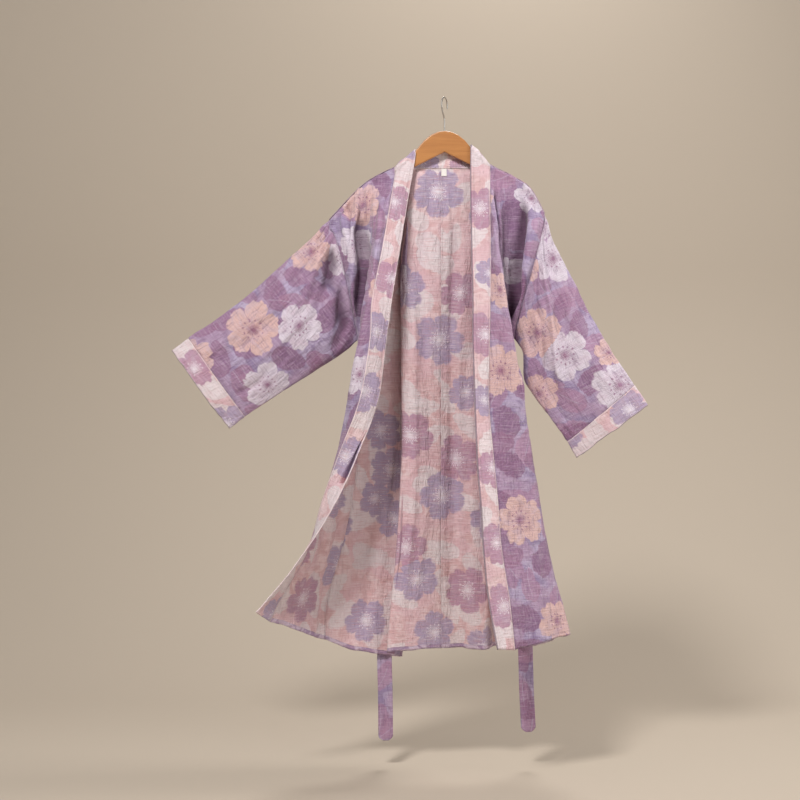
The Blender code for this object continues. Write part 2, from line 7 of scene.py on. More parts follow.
import math
from types import SimpleNamespace

import bmesh
import bpy
import numpy as np
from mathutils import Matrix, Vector


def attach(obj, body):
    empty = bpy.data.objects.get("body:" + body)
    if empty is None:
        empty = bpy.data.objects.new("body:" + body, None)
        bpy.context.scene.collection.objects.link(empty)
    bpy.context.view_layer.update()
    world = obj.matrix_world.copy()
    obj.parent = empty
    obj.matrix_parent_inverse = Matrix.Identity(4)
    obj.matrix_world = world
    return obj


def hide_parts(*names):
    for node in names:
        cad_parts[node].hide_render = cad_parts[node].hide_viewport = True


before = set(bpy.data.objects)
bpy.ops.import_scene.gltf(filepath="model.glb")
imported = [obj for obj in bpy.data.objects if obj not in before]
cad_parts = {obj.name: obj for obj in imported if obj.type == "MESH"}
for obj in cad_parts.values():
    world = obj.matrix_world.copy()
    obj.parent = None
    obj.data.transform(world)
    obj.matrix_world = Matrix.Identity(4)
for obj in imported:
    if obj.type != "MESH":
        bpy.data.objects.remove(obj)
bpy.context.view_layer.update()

# A millimetre in metres, the size of a grid's steps, the points along a curve that is measured, the side of
# the table behind a ripple, and the distance given where a piece has no such edge
MM = 0.001
FINENESS = 3.3
CURVE_STEPS = 400
WAVE_TABLE = 64
NO_EDGE = 1e3

# Walls as they look
CLOTH_WALL = 1.1
BAND_WALL = 2.0
CUFF_WALL = 1.6
BELT_WALL = 1.4

# Hanger's board, as in the solids
BOARD_THICKNESS = 12.0
CLOTH_ABOVE_BOARD = 4.4
CLOTH_BESIDE_BOARD = 1.6
SLOPE_ALLOWANCE = 1.35
PAST_TIP = 3.0
PAST_UNDERSIDE = 4.0
OVER_BOARD_EDGE = (9.2, -4.2)
BELOW_BOARD_EDGE = (9.6, -24.0)
OVER_NECK_EDGE = (0.4, -5.0)
BELOW_NECK_EDGE = (1.2, -26.0)
NECK_LIFT_LOST = 0.7

# Left front, from its free edge to the side seam: x, y, z at each height
LEFT_FREE = (
    (-70, 0, -124), (-87, -12, -242), (-107, -40, -365), (-125, -66, -485), (-137, -68, -578),
    (-158, -80, -719), (-199, -92, -835), (-249, -108, -950), (-318, -120, -1065), (-412, -126, -1180),
    (-438, -132, -1208),
)
LEFT_SEAM = (
    (-119, 0, -169), (-128, -34, -244), (-149, -62, -367), (-172, -85, -486), (-177, -100, -580),
    (-201, -108, -719), (-245, -98, -835), (-287, -80, -952), (-321, -72, -1069), (-385, -86, -1185),
    (-408, -92, -1236),
)
LEFT_RIDGE = (
    (-150, 0, -188), (-155, -48, -260), (-164, -70, -368), (-185, -74, -485), (-200, -86, -579),
    (-229, -72, -719), (-254, -58, -836), (-284, -42, -954), (-309, -35, -1073), (-362, -50, -1189),
    (-378, -54, -1249),
)
LEFT_TROUGH = (
    (-182, 0, -205), (-184, -20, -274), (-189, -22, -368), (-196, -20, -482), (-186, -46, -578),
    (-207, -40, -719), (-234, -24, -837), (-265, -8, -956), (-291, -2, -1076), (-336, -18, -1193),
    (-345, -20, -1266),
)
LEFT_TURN = (
    (-213, 0, -226), (-219, -34, -299), (-217, -42, -384), (-217, -34, -488), (-200, -18, -577),
    (-227, -8, -719), (-240, 10, -838), (-252, 26, -958), (-271, 32, -1079), (-312, 22, -1197),
    (-316, 20, -1283),
)
LEFT_SIDE = (
    (-273, 0, -290), (-261, -16, -330), (-243, -22, -392), (-222, -16, -491), (-207, 2, -576),
    (-199, 28, -719), (-207, 44, -839), (-222, 53, -960), (-248, 58, -1081), (-283, 60, -1202),
    (-287, 60, -1299),
)

# Back, from the left side seam to the right one. The armhole edge is the front's, turned to the back.
BACK_HOLLOW = (
    (-182, 0, -205), (-180, 20, -269), (-180, 30, -364), (-173, 40, -483), (-164, 50, -574), (-162, 66, -719),
    (-167, 76, -840), (-176, 82, -962), (-186, 88, -1084), (-198, 92, -1206), (-208, 94, -1330),
)
BACK_ROOT = (
    (-119, 0, -169), (-104, 25, -240), (-89, 40, -358), (-84, 54, -478), (-82, 64, -574), (-82, 80, -719),
    (-84, 90, -840), (-88, 98, -963), (-92, 105, -1085), (-99, 112, -1208), (-102, 116, -1346),
)
BACK_LIP = (
    (-80, 10, -167), (-86, 14, -239), (-103, 20, -360), (-106, 28, -479), (-106, 34, -575), (-106, 42, -719),
    (-107, 48, -839), (-112, 52, -960), (-119, 56, -1081), (-128, 60, -1202), (-131, 62, -1328),
)
BACK_CENTRE = (
    (-8, 13, -166), (-8, 17, -238), (-8, 26, -359), (-7, 35, -479), (-7, 42, -574), (-7, 54, -719),
    (-7, 62, -840), (-7, 68, -961), (-7, 74, -1082), (-6, 78, -1204), (-6, 80, -1321),
)
BACK_SWELL = (
    (38, 12.5, -166), (38, 18, -240), (38, 28, -360), (38, 38, -480), (39, 46, -575), (40, 60, -719),
    (41, 68, -840), (42, 76, -961), (43, 82, -1082), (44, 86, -1204), (45, 88, -1322),
)
BACK_RIGHT_LIP = (
    (76, 10, -166), (74, 14, -240), (76, 22, -360), (78, 30, -480), (80, 38, -575), (84, 46, -719),
    (88, 50, -840), (92, 54, -961), (96, 58, -1082), (101, 62, -1203), (100, 64, -1322),
)
BACK_RIGHT_ROOT = (
    (108, 0, -163), (112, 24, -240), (112, 48, -360), (112, 68, -480), (112, 84, -575), (116, 106, -719),
    (120, 112, -840), (124, 116, -961), (128, 120, -1082), (132, 122, -1203), (136, 124, -1322),
)
BACK_RIGHT_HOLLOW = (
    (163, 0, -190), (160, 18, -252), (158, 34, -360), (152, 46, -480), (146, 52, -575), (156, 66, -719),
    (166, 72, -840), (178, 78, -961), (192, 84, -1082), (204, 88, -1203), (212, 90, -1318),
)

# Right front, from the side seam to its free edge
RIGHT_SIDE = (
    (237, 0, -274), (226, -20, -340), (208, -30, -407), (185, -26, -489), (166, 4, -571), (164, 28, -719),
    (180, 40, -839), (205, 50, -960), (227, 58, -1081), (245, 62, -1202), (259, 64, -1302),
)
RIGHT_TIP = (
    (203, 0, -215), (204, -28, -274), (193, -42, -358), (179, -38, -472), (164, -18, -577), (170, -10, -719),
    (192, 5, -838), (214, 15, -958), (237, 25, -1078), (258, 28, -1198), (275, 30, -1287),
)
RIGHT_TROUGH = (
    (163, 0, -190), (157, -16, -248), (160, -16, -363), (158, -20, -481), (158, -38, -577), (179, -46, -719),
    (199, -28, -837), (219, -18, -956), (243, -8, -1075), (267, -5, -1194), (287, -2, -1280),
)
RIGHT_LIP = (
    (126, 0, -172), (115, -36, -245), (127, -68, -368), (141, -86, -486), (158, -92, -579), (183, -80, -719),
    (201, -62, -836), (220, -50, -954), (243, -42, -1072), (268, -38, -1190), (286, -36, -1274),
)
RIGHT_SEAM = (
    (108, 0, -163), (107, -30, -244), (108, -54, -367), (106, -70, -485), (104, -78, -579), (101, -86, -719),
    (110, -92, -835), (121, -97, -951), (130, -101, -1067), (148, -106, -1182), (160, -108, -1298),
)
RIGHT_FREE = (
    (61, 0, -118), (61, -16, -242), (62, -42, -366), (64, -64, -485), (63, -78, -579), (66, -100, -719),
    (70, -112, -834), (78, -120, -950), (85, -126, -1065), (97, -124, -1180), (117, -132, -1294),
)

# Top of the collar band behind the neck, from left to right: x, y, z
NECK_FREE = (
    (-70, 0, -124), (-70, 10.5, -127), (-42, 13.5, -117), (-8, 14, -114), (28, 13.5, -114), (60, 10.5, -120),
    (61, 0, -118),
)

# Sleeve rings: top x, z; underside x, z; how far the front and the back stand from the middle. Then the steps
# from a ring's top to its underside, and the power that rounds it
LEFT_RINGS = (
    (-320, -338, -250, -610, 34), (-372, -384, -305, -646, 38), (-440, -445, -365, -686, 34),
    (-520, -509, -430, -730, 28), (-610, -571, -475, -758, 20),
)
LEFT_CUFF_EDGE = (-651, -599, -513, -787, 17)
RIGHT_RINGS = (
    (256, -338, 188, -607, 34), (294, -412, 191, -671, 38), (340, -505, 215, -712, 34),
    (390, -590, 252, -762, 28), (452, -684, 293, -818, 20),
)
RIGHT_CUFF_EDGE = (484, -731, 316, -857, 17)
RING_STEPS = (0.0, 0.03, 0.09, 0.17, 0.28, 0.41, 0.56, 0.72, 0.87, 1.0)
RING_FULLNESS = 0.62

# Hanger board: half outline from the middle of the dome to the tip, then back under to the middle
BOARD_TOP = ((0, -79), (16, -81), (32, -88), (48, -101), (64, -120), (88, -146), (110, -165.5),
             (122, -172), (162, -191), (187, -207), (200, -219))
BOARD_TIP = ((207, -227), (206, -234), (198, -235))
BOARD_UNDER = ((165, -215), (120, -190), (70, -164), (34, -146), (0, -129))

# Belt: x, z of its middle along the outside of the back, from the left end to the right end, then its width,
# the length of its round ends, its columns, and the least square of its width's share at an end
BELT_ROUTE = (
    (-141, -1554), (-142, -1440), (-144, -1345), (-142, -1200), (-136, -1080), (-130, -960), (-126, -860),
    (-125, -800), (-122, -748), (-104, -714), (-62, -702), (20, -708), (75, -710), (112, -706), (144, -708),
    (162, -730), (168, -775), (175, -850), (182, -960), (190, -1090), (197, -1220), (201, -1325),
    (204, -1430), (209, -1532),
)
BELT_WIDTH, BELT_END, BELT_COLUMNS, NARROWEST_END = 36.0, 14.0, 11, 0.12

# Belt loops: x, z of their middles, their size and their grid
LOOPS_AT = {"left": (-80, -703), "right": (117, -707)}
LOOP_WIDTH, LOOP_HEIGHT = 9.0, 64.0
LOOP_COLUMNS, LOOP_ROWS = 5, 41

# Heights down the body: its ends and the underarm, the points of a side line above that, the heights at
# which a sleeve's ring meets the armhole, and those between which a back leaves the front's mirrored form
TOP, UNDERARM, HEM = 0, 6, 12
POINTS_ABOVE_UNDERARM = 4
ARM_ROWS = (0, 1, 2, 2.5, 3, 3.6, 4.3, 5, 5.5, 6)
RING_HALF = len(ARM_ROWS) - 1
BACK_BLEND = (2.0, 2.7)

# Fold line and height at which the even steps of a body panel's grid are measured
MEASURED_LINE, MEASURED_HEIGHT = 2.0, 8.0
CUFF_ROWS = 16

# Collar band: its columns, its steps and spans round the neck, and how many spans lie on the left back and
# on the swell of the right one
BAND_COLUMNS = (0, 0.6, 9), (0.64, 1, 12)
NECK_STEPS = 80
NECK_SPANS, LEFT_SPANS, SWELL_SPANS = 13, 6, 4

# Narrow gap behind the left band's free edge: heights down the robe where it starts and ends, its greatest
# and least width, its depth, the width of the pale edge beside it, and where its two sides lie in its width
GAP_STARTS, GAP_ENDS = 7.6, 8.68
GAP_WIDTH, GAP_LEAST, GAP_DEPTH, GAP_EDGE = 19.0, 0.1, 22.0, 3.0
GAP_FALLS, GAP_RISES = (0, 0.15), (0.75, 1.0)

# A strip that follows its solid: vertices that give its depth, and steps that the depth is evened over
NEAREST_VERTICES, EVENED_STEPS = 6, 9

# Unevenness of all cloth: size of the waves across and down, their height, and a number for their seed
WAVES = ((52, 190, 2.4, 0), (23, 96, 1.5, 7))
CRINKLES = ((9, 32, 0.8, 13), (34, 11, 0.5, 17))
SEAM_PUCKERS = ((9, 40, 0.8, 23),)
HEM_SWING = ((38, 1, 3.0, 29),)
HEM_WAVER = ((31, 1, 1.8, 31),)
HEM_NOTCHES = ((11, 1, 0.6, 5),)

# How far from a seam waves and crinkles are held back, where the cloth puckers, and how far up a hem swings
SEAM_HOLDS_WAVES, SEAM_HOLDS_CRINKLES, SEAM_PUCKERS_AT = 30, 7, 6
HEM_SWINGS_OVER = 45

# Width and depth of the groove along a seam, where a hem's turned strip ends, and how far that lies in
SEAM_GROOVE = (2.6, 0.35)
HEM_TURN, HEM_SUNK = (12, 9), 0.35

# How far the backs' top edges lie behind the collar band's lower edge, and over what height
BEHIND_BAND, BEHIND_BAND_OVER = 2.4, 7

# A crease's bends, how far they wander and how wide each flank is in widths of the crease, where it tapers
# in lengths of it, and how much deeper it is drawn than its table says
CREASE_BENDS, CREASE_WANDER = 5, 0.4
CREASE_FLANKS = (1.5, 0.75)
CREASE_STARTS, CREASE_ENDS = (-0.08, 0.18), (0.75, 1.08)
CREASE_LIFT = 1.35

# Depths of a recess between which painted shade darkens the cloth's colour, from none to full
PAINTED_SHADE_FROM, PAINTED_SHADE_FULL = 3.0, 20.0

# Edges painted with shade: distance from the edge where the painted shade starts and where it is full
BAND_EDGE_PAINTED_SHADE = (4.6, 2.6)
CUFF_END_PAINTED_SHADE = (3.4, 2.2)


def spline(points, t):
    """Points of a smooth curve through the rows of an array; whole values of t are the rows themselves."""
    points = np.asarray(points, float)
    t = np.asarray(t, float)
    last = len(points) - 1
    i = np.clip(np.floor(t).astype(int), 0, last - 1)
    f = (t - i).reshape(-1, *[1] * (points.ndim - 1))
    ends = [2 * points[:1] - points[1:2], points, 2 * points[-1:] - points[-2:-1]]
    a, b, c, d = (np.concatenate(ends)[i + k] for k in range(4))
    curve = 2 * b + (c - a) * f + (2 * a - 5 * b + 4 * c - d) * f ** 2 + (3 * b - a - 3 * c + d) * f ** 3
    return 0.5 * curve


def smooth(x, low, high):
    """0 below low, 1 above high, and a soft step between them."""
    x = np.clip((x - low) / (high - low), 0, 1)
    return x * x * (3 - 2 * x)


def edge_at(edge, x):
    """Height of one edge of the hanger's board at each distance from its middle."""
    edge = np.asarray(edge, float)
    return np.interp(np.abs(x), edge[:, 0], edge[:, 1])


def beside_board(points, side, wall):
    """Points moved out of the hanger's board, over its top edge or out from its face."""
    x, y, z = np.moveaxis(points, -1, 0)
    face = BOARD_THICKNESS / 2
    clear = wall / 2 + CLOTH_BESIDE_BOARD
    near = (np.abs(x) <= BOARD_TIP[0][0] + PAST_TIP) & (z >= edge_at(BOARD_UNDER[::-1], x) - PAST_UNDERSIDE)
    above = z - edge_at(BOARD_TOP, x)
    beyond = np.maximum(side * y - face, 0)
    short = clear * SLOPE_ALLOWANCE / np.maximum(np.hypot(above, beyond), 1e-6)
    beside = near & (above <= 0)
    over = near & (above > 0) & (short > 1)
    y = np.where(beside, side * (face + np.maximum(beyond, clear)), y)
    y = np.where(over & (beyond > 0), side * (face + beyond * short), y)
    z = np.where(over, z + above * (short - 1), z)
    return np.stack([x, y, z], -1)


def hung(line, side):
    """A fold line with two more heights, where the cloth turns down over the hanger's board."""
    line = np.asarray(line, float)
    top = line[0].copy()
    over, below = OVER_NECK_EDGE, BELOW_NECK_EDGE
    if abs(top[1]) < 1:
        top[1] = 0
        if abs(top[0]) <= BOARD_TOP[-1][0]:
            top[2] = edge_at(BOARD_TOP, top[0]) + CLOTH_ABOVE_BOARD
        over, below = OVER_BOARD_EDGE, BELOW_BOARD_EDGE
    turned = [top + (0, side * out, up) for out, up in (over, below)]
    return np.array([top, *turned, *line[1:]])


def back_edge(side_line):
    """The armhole edge of the back: the front's edge mirrored in depth down to the underarm."""
    line = np.array(side_line, float)
    line[:POINTS_ABOVE_UNDERARM, 1] *= -1
    return line


class Panel:
    """One panel of the body, as a surface over t, the height down the robe, and s, the place across."""

    def __init__(self, lines, side):
        self.lines = np.array([hung(line, side) for line in lines])
        self.side = side
        self.last = len(lines) - 1

    def bare(self, t, s):
        """Points for each t in rows and each s in columns, on the fold lines alone."""
        across = spline(self.lines.transpose(1, 0, 2), t).transpose(1, 0, 2)
        return spline(across, s).transpose(1, 0, 2)

    def at(self, t, s):
        """Points for each t in rows and each s in columns, clear of the hanger."""
        t, s = np.atleast_1d(t), np.atleast_1d(s)
        points = self.bare(t, s)
        cleared = beside_board(points, self.side, CLOTH_WALL)
        return np.where((t > 0)[:, None, None], cleared, points)


class Back(Panel):
    """A half of the back, whose last two spans lie behind the front's four.

    Over the hanger it mirrors the front, and from the underarm down it joins it.
    """

    def __init__(self, lines, front):
        super().__init__(lines, 1)
        self.front = front
        self.seam = self.last - 2

    def at(self, t, s):
        """Points for each t in rows and each s in columns, joined to the front and clear of the hanger."""
        t, s = np.atleast_1d(t), np.atleast_1d(s)
        points = super().at(t, s)
        over_board = s >= self.seam
        mirrored = self.front.at(t, 2 * (np.maximum(s, self.seam) - self.seam)) * (1, -1, 1)
        share = (1 - smooth(t, *BACK_BLEND))[:, None, None] * over_board[None, :, None]
        edge = self.front.at(t, [self.front.last])
        at_side = (smooth(s, self.last - 0.5, self.last)[None, :] * (t >= UNDERARM)[:, None])[..., None]
        lift = self.neck_lift(t, s)
        points = points * (1 - share) + mirrored * share
        own_edge = super().at(t, [self.last])
        points = points + (edge - own_edge) * at_side
        points[..., 1] = np.where(lift > 0, np.maximum(points[..., 1], OVER_BOARD_EDGE[0]), points[..., 1])
        points[..., 2] += lift
        raised = (lift > 0)[..., None]
        return np.where(raised, beside_board(points, 1, BAND_WALL), points)

    def neck_lift(self, t, s):
        """How far the neck edge is raised beside the board."""
        seam = self.bare(np.zeros(1), np.array([self.seam]))[0, 0]
        full = max(float(edge_at(BOARD_TOP, seam[0])) + CLOTH_ABOVE_BOARD - seam[2], 0)
        fade = np.interp(self.seam - s, (0, 1 / 3, 2 / 3, 1), (0, 1, 1 - NECK_LIFT_LOST, 0))
        return full * np.clip(2 - t, 0, 1)[:, None] * fade[None, :]


def even_steps(curve, low, high, step):
    """Values from low to high at even steps along a curve, given as a function of them."""
    fine = np.linspace(low, high, CURVE_STEPS)
    run = lengths(curve(fine), 0)
    count = max(int(round(run[-1] / step)), 2)
    return np.interp(np.linspace(0, run[-1], count + 1), run, fine)


def lengths(points, axis):
    """Length run along a row of points, or along each row or column of a grid."""
    steps = np.linalg.norm(np.diff(points, axis=axis), axis=-1)
    start = np.zeros_like(np.take(steps, [0], axis=axis))
    return np.concatenate([start, np.cumsum(steps, axis=axis)], axis=axis)


def unit(vectors):
    """Vectors brought to length one."""
    return vectors / np.maximum(np.linalg.norm(vectors, axis=-1, keepdims=True), 1e-9)


def from_column(steps, column):
    """Running sums of steps along each row, counted from one column."""
    run = np.concatenate([np.zeros((len(steps), 1)), np.cumsum(steps, axis=1)], axis=1)
    return run - run[:, column:column + 1]


def laid_flat(points, column, down):
    """Where each point of a grid lies on the flat cloth: across it and down it, counted from one column."""
    down = np.broadcast_to(down, (len(points), 3))
    across = np.gradient(points, axis=1)[:, column]
    across = unit(across - (across * down).sum(-1, keepdims=True) * down)
    step = np.diff(points[:, column], axis=0)
    drift = (step * (across[1:] + across[:-1])).sum(-1) / 2
    fall = np.sqrt(np.maximum((step ** 2).sum(-1) - drift ** 2, 0))
    start_u, start_v = (np.concatenate([[0], np.cumsum(run)])[:, None] for run in (drift, fall))
    move = np.diff(points, axis=1)
    along = (move * down[:, None]).sum(-1)
    wide = np.sqrt(np.maximum((move ** 2).sum(-1) - along ** 2, 0))
    return start_u + from_column(wide, column), start_v + from_column(along, column)


def outward(points, closed, out):
    """Direction out of the cloth at each point of a grid."""
    down = np.gradient(points, axis=0)
    if closed:
        across = np.roll(points, -1, axis=1) - np.roll(points, 1, axis=1)
    else:
        across = np.gradient(points, axis=1)
    return unit(np.cross(across, down) * out)


def ripple(u, v, pitch_u, pitch_v, seed):
    """Smooth uneven waves between -1 and 1, about pitch_u by pitch_v millimetres in size."""
    table = np.random.default_rng(seed).uniform(-1, 1, (WAVE_TABLE, WAVE_TABLE))
    a, b = u / pitch_u, v / pitch_v
    i, j = np.floor(a).astype(int), np.floor(b).astype(int)
    f, g = a - i, b - j
    f, g = f * f * (3 - 2 * f), g * g * (3 - 2 * g)
    corner = [[table[(i + m) % WAVE_TABLE, (j + n) % WAVE_TABLE] for n in (0, 1)] for m in (0, 1)]
    near = corner[0][0] * (1 - g) + corner[0][1] * g
    far = corner[1][0] * (1 - g) + corner[1][1] * g
    return near * (1 - f) + far * f


def ripples(u, v, waves, seed):
    """Sum of waves, each given as its size across and down, its height and a number for its seed."""
    return sum(ripple(u, v, wide, long, seed + number) * height for wide, long, height, number in waves)


def crease_depth(u, v, creases, place):
    """Sum of soft creases, each steeper on one flank than on the other."""
    total = np.zeros_like(u)
    for s0, t0, s1, t1, width, depth in creases:
        a, b = place(s0, t0), place(s1, t1)
        run = b - a
        along = ((u - a[0]) * run[0] + (v - a[1]) * run[1]) / (run @ run)
        off = ((u - a[0]) * run[1] - (v - a[1]) * run[0]) / math.sqrt(run @ run)
        wander = ripple(along * CREASE_BENDS, along * 0, 1, 1, int(abs(depth) * 10))
        off = off + wander * width * CREASE_WANDER
        flank = width * np.where(off > 0, *CREASE_FLANKS)
        taper = smooth(along, *CREASE_STARTS) * (1 - smooth(along, *CREASE_ENDS))
        total += depth * np.exp(-(off / flank) ** 2) * taper
    return total * CREASE_LIFT


# Creases: from one place of the piece to another (across, down; across, down), width and depth.
# Places count fold lines across and heights down; on a sleeve, ring points round it and rings along it. A
# crease with a depth above zero stands out.
CREASES = {
    "front_left": (
        (2.2, 2.5, 2.3, 6.3, 17, -14), (1.5, 2.9, 1.7, 6.2, 8, -5), (0.22, 1.1, 0.32, 3.2, 4, -7),
        (1.45, 2.2, 1.4, 6.2, 6, 5), (2, 1.3, 2.1, 3.3, 4, 7), (2.4, 2.2, 2.4, 3.1, 4, -2.5),
        (2.8, 1.2, 2.75, 3.3, 4, 8), (3.3, 1.4, 3.2, 3.5, 5, -7), (3.5, 1.3, 3.4, 3.4, 4, 7),
        (3.84, 1.4, 3.78, 3.8, 4, -6), (3.2, 1.4, 1.6, 6.3, 9, -3), (2.1, 2.2, 1.9, 6.6, 13, 3.2),
        (1.1, 2, 1.3, 5.2, 9, -2.8), (0.4, 2.6, 0.5, 7.2, 8, 2.2), (0.8, 6.2, 0.5, 11.8, 11, 3.4),
        (1.6, 7, 1.4, 12, 13, -4.2), (2.4, 6.6, 2.6, 11, 10, 3.4), (3.1, 7.4, 3, 12.2, 14, -4),
        (3.6, 8.2, 3.5, 12.2, 9, 3.2), (0.3, 9.6, 0.2, 12.2, 8, -2.6),
    ),
    "front_right": (
        (0.5, 1.3, 1.14, 6.6, 7, -17), (2.5, 2.5, 2.4, 6.2, 12, -18), (3, 2.4, 3, 5.6, 6, 6),
        (0.14, 1.6, 0.84, 7.2, 5, 7), (1.7, 2.5, 1.8, 6.4, 15, -11), (3.7, 1.6, 2.6, 5.4, 12, 4.4),
        (3, 1.8, 2.2, 6.2, 9, -3.2), (1.6, 2.4, 1.8, 6.8, 10, 3), (0.6, 2, 0.8, 5, 8, -2.4),
        (0.4, 5.6, 0.5, 9.4, 9, 2.6), (1.2, 6.4, 1.3, 11.4, 12, -3.6), (2.3, 6.8, 2.2, 12.2, 11, 3.6),
        (3.2, 7.6, 3.3, 12, 10, -3.2), (0.7, 9, 0.6, 12.2, 9, 3), (1.8, 9.8, 1.9, 12.2, 8, -2.6),
    ),
    "back_left": (
        (1.28, 2.2, 1.3, 12.6, 9, 11), (0.62, 4.2, 0.66, 12.4, 10, -4.5), (0.25, 2.6, 0.3, 9, 9, 4.5),
        (0.35, 1.6, 0.4, 6.8, 10, 2.4), (0.7, 3.2, 0.6, 9, 8, -2.2), (0.3, 6.4, 0.45, 11.9, 12, -3.2),
        (0.8, 8.6, 0.85, 12.2, 9, 2.6), (1.5, 4.6, 1.6, 10.6, 12, 3.6), (2.4, 3, 2.5, 8.2, 12, -3.8),
        (2.8, 6.8, 3, 12.2, 14, 4.4), (3.4, 2.2, 3.3, 6, 10, 3.2), (3.5, 7.2, 3.6, 11.8, 11, -3.4),
        (2.1, 9, 2, 12.2, 10, -3),
    ),
    "back_right": (
        (0.7, 2.2, 0.7, 10, 13, 4.5), (1.2, 4, 1.15, 12.4, 10, -4), (1.9, 3, 1.8, 12.4, 12, 7),
        (0.5, 1.8, 0.45, 6.2, 9, 2.2), (0.9, 4.4, 1, 11, 11, -2.8), (1.5, 2.4, 1.4, 8, 9, 2.4),
        (0.4, 7.4, 0.3, 12.2, 12, 3.4), (1.4, 8.8, 1.5, 12.2, 10, -3), (2.4, 4, 2.5, 10.2, 12, 3.4),
        (3.4, 3, 3.5, 8, 12, -3.8), (3.8, 6.6, 3.9, 12.2, 14, 4.2), (4.4, 2.2, 4.3, 6, 10, 3),
        (4.5, 7.6, 4.5, 11.8, 11, -3.4), (3, 9.2, 3.1, 12.2, 10, 2.8),
    ),
    "sleeve_left": (
        (1, 0.55, 5.6, 0.4, 28, -13), (8.4, -0.2, 6.6, 1.5, 7, 6), (7.8, -0.1, 5.4, 2.4, 9, -6.2),
        (6.6, -0.1, 3.4, 2.2, 10, 5.6), (8.1, -0.1, 7.6, 0.8, 4, -6), (7.3, -0.1, 6.7, 0.9, 4, 6),
        (6.2, -0.1, 5.7, 0.8, 5, -6.5), (5.2, 0, 2, 1.9, 10, -6.4), (3.4, 0, 0.8, 1.5, 12, 5),
        (1.6, 0, 0.4, 1.2, 11, -6), (6.8, 1.8, 5.6, 4.4, 12, 3), (4.6, 1.6, 4.2, 4.8, 10, -3.4),
        (3, 1.4, 2.6, 3.8, 9, 3.2), (7.6, 3, 6.8, 5.2, 9, -2.4), (2, 2.6, 1.6, 5.1, 9, -3),
        (5.4, 3.8, 5, 5.2, 8, 2.2), (10.2, 0, 12.8, 2.4, 11, 4), (12, 0, 15, 2, 12, -4.8),
        (13.8, 0.2, 16.6, 2.4, 10, 4), (11.6, 2, 12.6, 4.8, 11, 3), (14.4, 1.8, 14.8, 4.6, 10, -3.2),
        (16, 2.4, 15.8, 5, 9, 2.8),
    ),
    "sleeve_right": (
        (5.4, 0.2, 1.7, 3.8, 6, 10), (4.4, 0.3, 1, 3.2, 8, -7.5), (7.8, -0.1, 5.8, 2.2, 10, 4),
        (6.4, -0.1, 3.8, 2.6, 12, -4.6), (4.8, 0, 2.6, 2.2, 9, 4.2), (3, 0.2, 1.2, 1.8, 11, -5),
        (7.2, 1.6, 6.6, 4.8, 10, -3), (5.6, 2, 5, 5, 11, 3.4), (4, 1.8, 3.6, 4.4, 9, -3),
        (2.6, 2.2, 2.2, 4.8, 10, 3.2), (6.2, 3.6, 6, 5.2, 8, 2.2), (1.2, 2.8, 1.1, 5.1, 8, -2.6),
        (10.4, 0, 12.4, 2.6, 11, 4.2), (12.4, 0, 15.2, 2.2, 11, -4.6), (14, 0.4, 16.4, 2.6, 10, 3.8),
        (11.8, 2.2, 12.4, 5, 10, -3), (14.2, 2, 14.6, 4.8, 11, 3.2),
    ),
}

# Print: where each motif shows from the front, x and z, then its radius, kind and turn in degrees. A leaf's
# kind runs from 0 for a dark one to 1 for a light one. A blossom that a seam crosses stands in both lists.
PALE, WARM = 0, 1
ACROSS_BACK_SEAM = (
    (-14, -222, 60, PALE, 15), (-12, -574, 62, PALE, 8), (-2, -950, 58, PALE, 30), (-24, -1280, 50, PALE, 52),
)
BLOSSOMS = {
    "sleeve_left": (
        (-453, -552, 64, WARM, 12), (-344, -545, 54, PALE, 40), (-420, -683, 54, PALE, 5),
        (-318, -366, 50, WARM, 30), (-240, -372, 44, PALE, 10), (-590, -640, 46, WARM, 50),
    ),
    "sleeve_right": (
        (256, -384, 58, PALE, 20), (218, -562, 60, WARM, 5), (284, -614, 58, PALE, 44),
        (414, -686, 62, PALE, 12), (226, -704, 46, WARM, 60), (232, -300, 40, PALE, 33),
        (390, -606, 36, WARM, 0), (200, -400, 34, WARM, 12),
    ),
    "back_left": (
        *ACROSS_BACK_SEAM, (-100, -450, 56, PALE, 50), (-82, -803, 58, WARM, 20), (-127, -888, 54, PALE, 0),
        (-153, -792, 50, PALE, 35), (-166, -960, 46, PALE, 10), (-93, -1075, 54, WARM, 66),
        (-66, -1150, 56, PALE, 24), (-190, -1256, 54, PALE, 24), (-120, -1010, 46, PALE, 52),
    ),
    "back_right": (
        *ACROSS_BACK_SEAM, (38, -462, 52, WARM, 25), (30, -862, 60, WARM, 44), (58, -1180, 58, WARM, 10),
        (54, -700, 44, PALE, 20),
    ),
    "front_left": (
        (-335, -1188, 58, WARM, 20), (-247, -1118, 62, PALE, 0), (-212, -352, 46, PALE, 30),
        (-194, -254, 48, WARM, 20), (-211, -1262, 50, PALE, 12), (-200, -660, 44, PALE, 45),
    ),
    "front_right": (
        (126, -462, 42, WARM, 18), (127, -650, 58, WARM, 40), (176, -1000, 58, WARM, 40),
        (262, -1240, 50, WARM, 15), (152, -412, 32, PALE, 22), (205, -240, 40, PALE, 50),
    ),
    "belt": ((20, -708, 40, PALE, 0),),
    "collar_band": (
        (84, -267, 50, WARM, 10), (92, -564, 50, WARM, 28), (104, -420, 34, PALE, 5),
        (111, -878, 46, WARM, 5), (134, -1195, 50, WARM, 38), (-124, -433, 46, WARM, 0),
        (-160, -560, 46, PALE, 20), (-188, -700, 50, PALE, 60), (-232, -850, 48, PALE, 5),
        (-330, -1030, 40, WARM, 12), (90, -720, 36, PALE, 20),
    ),
}
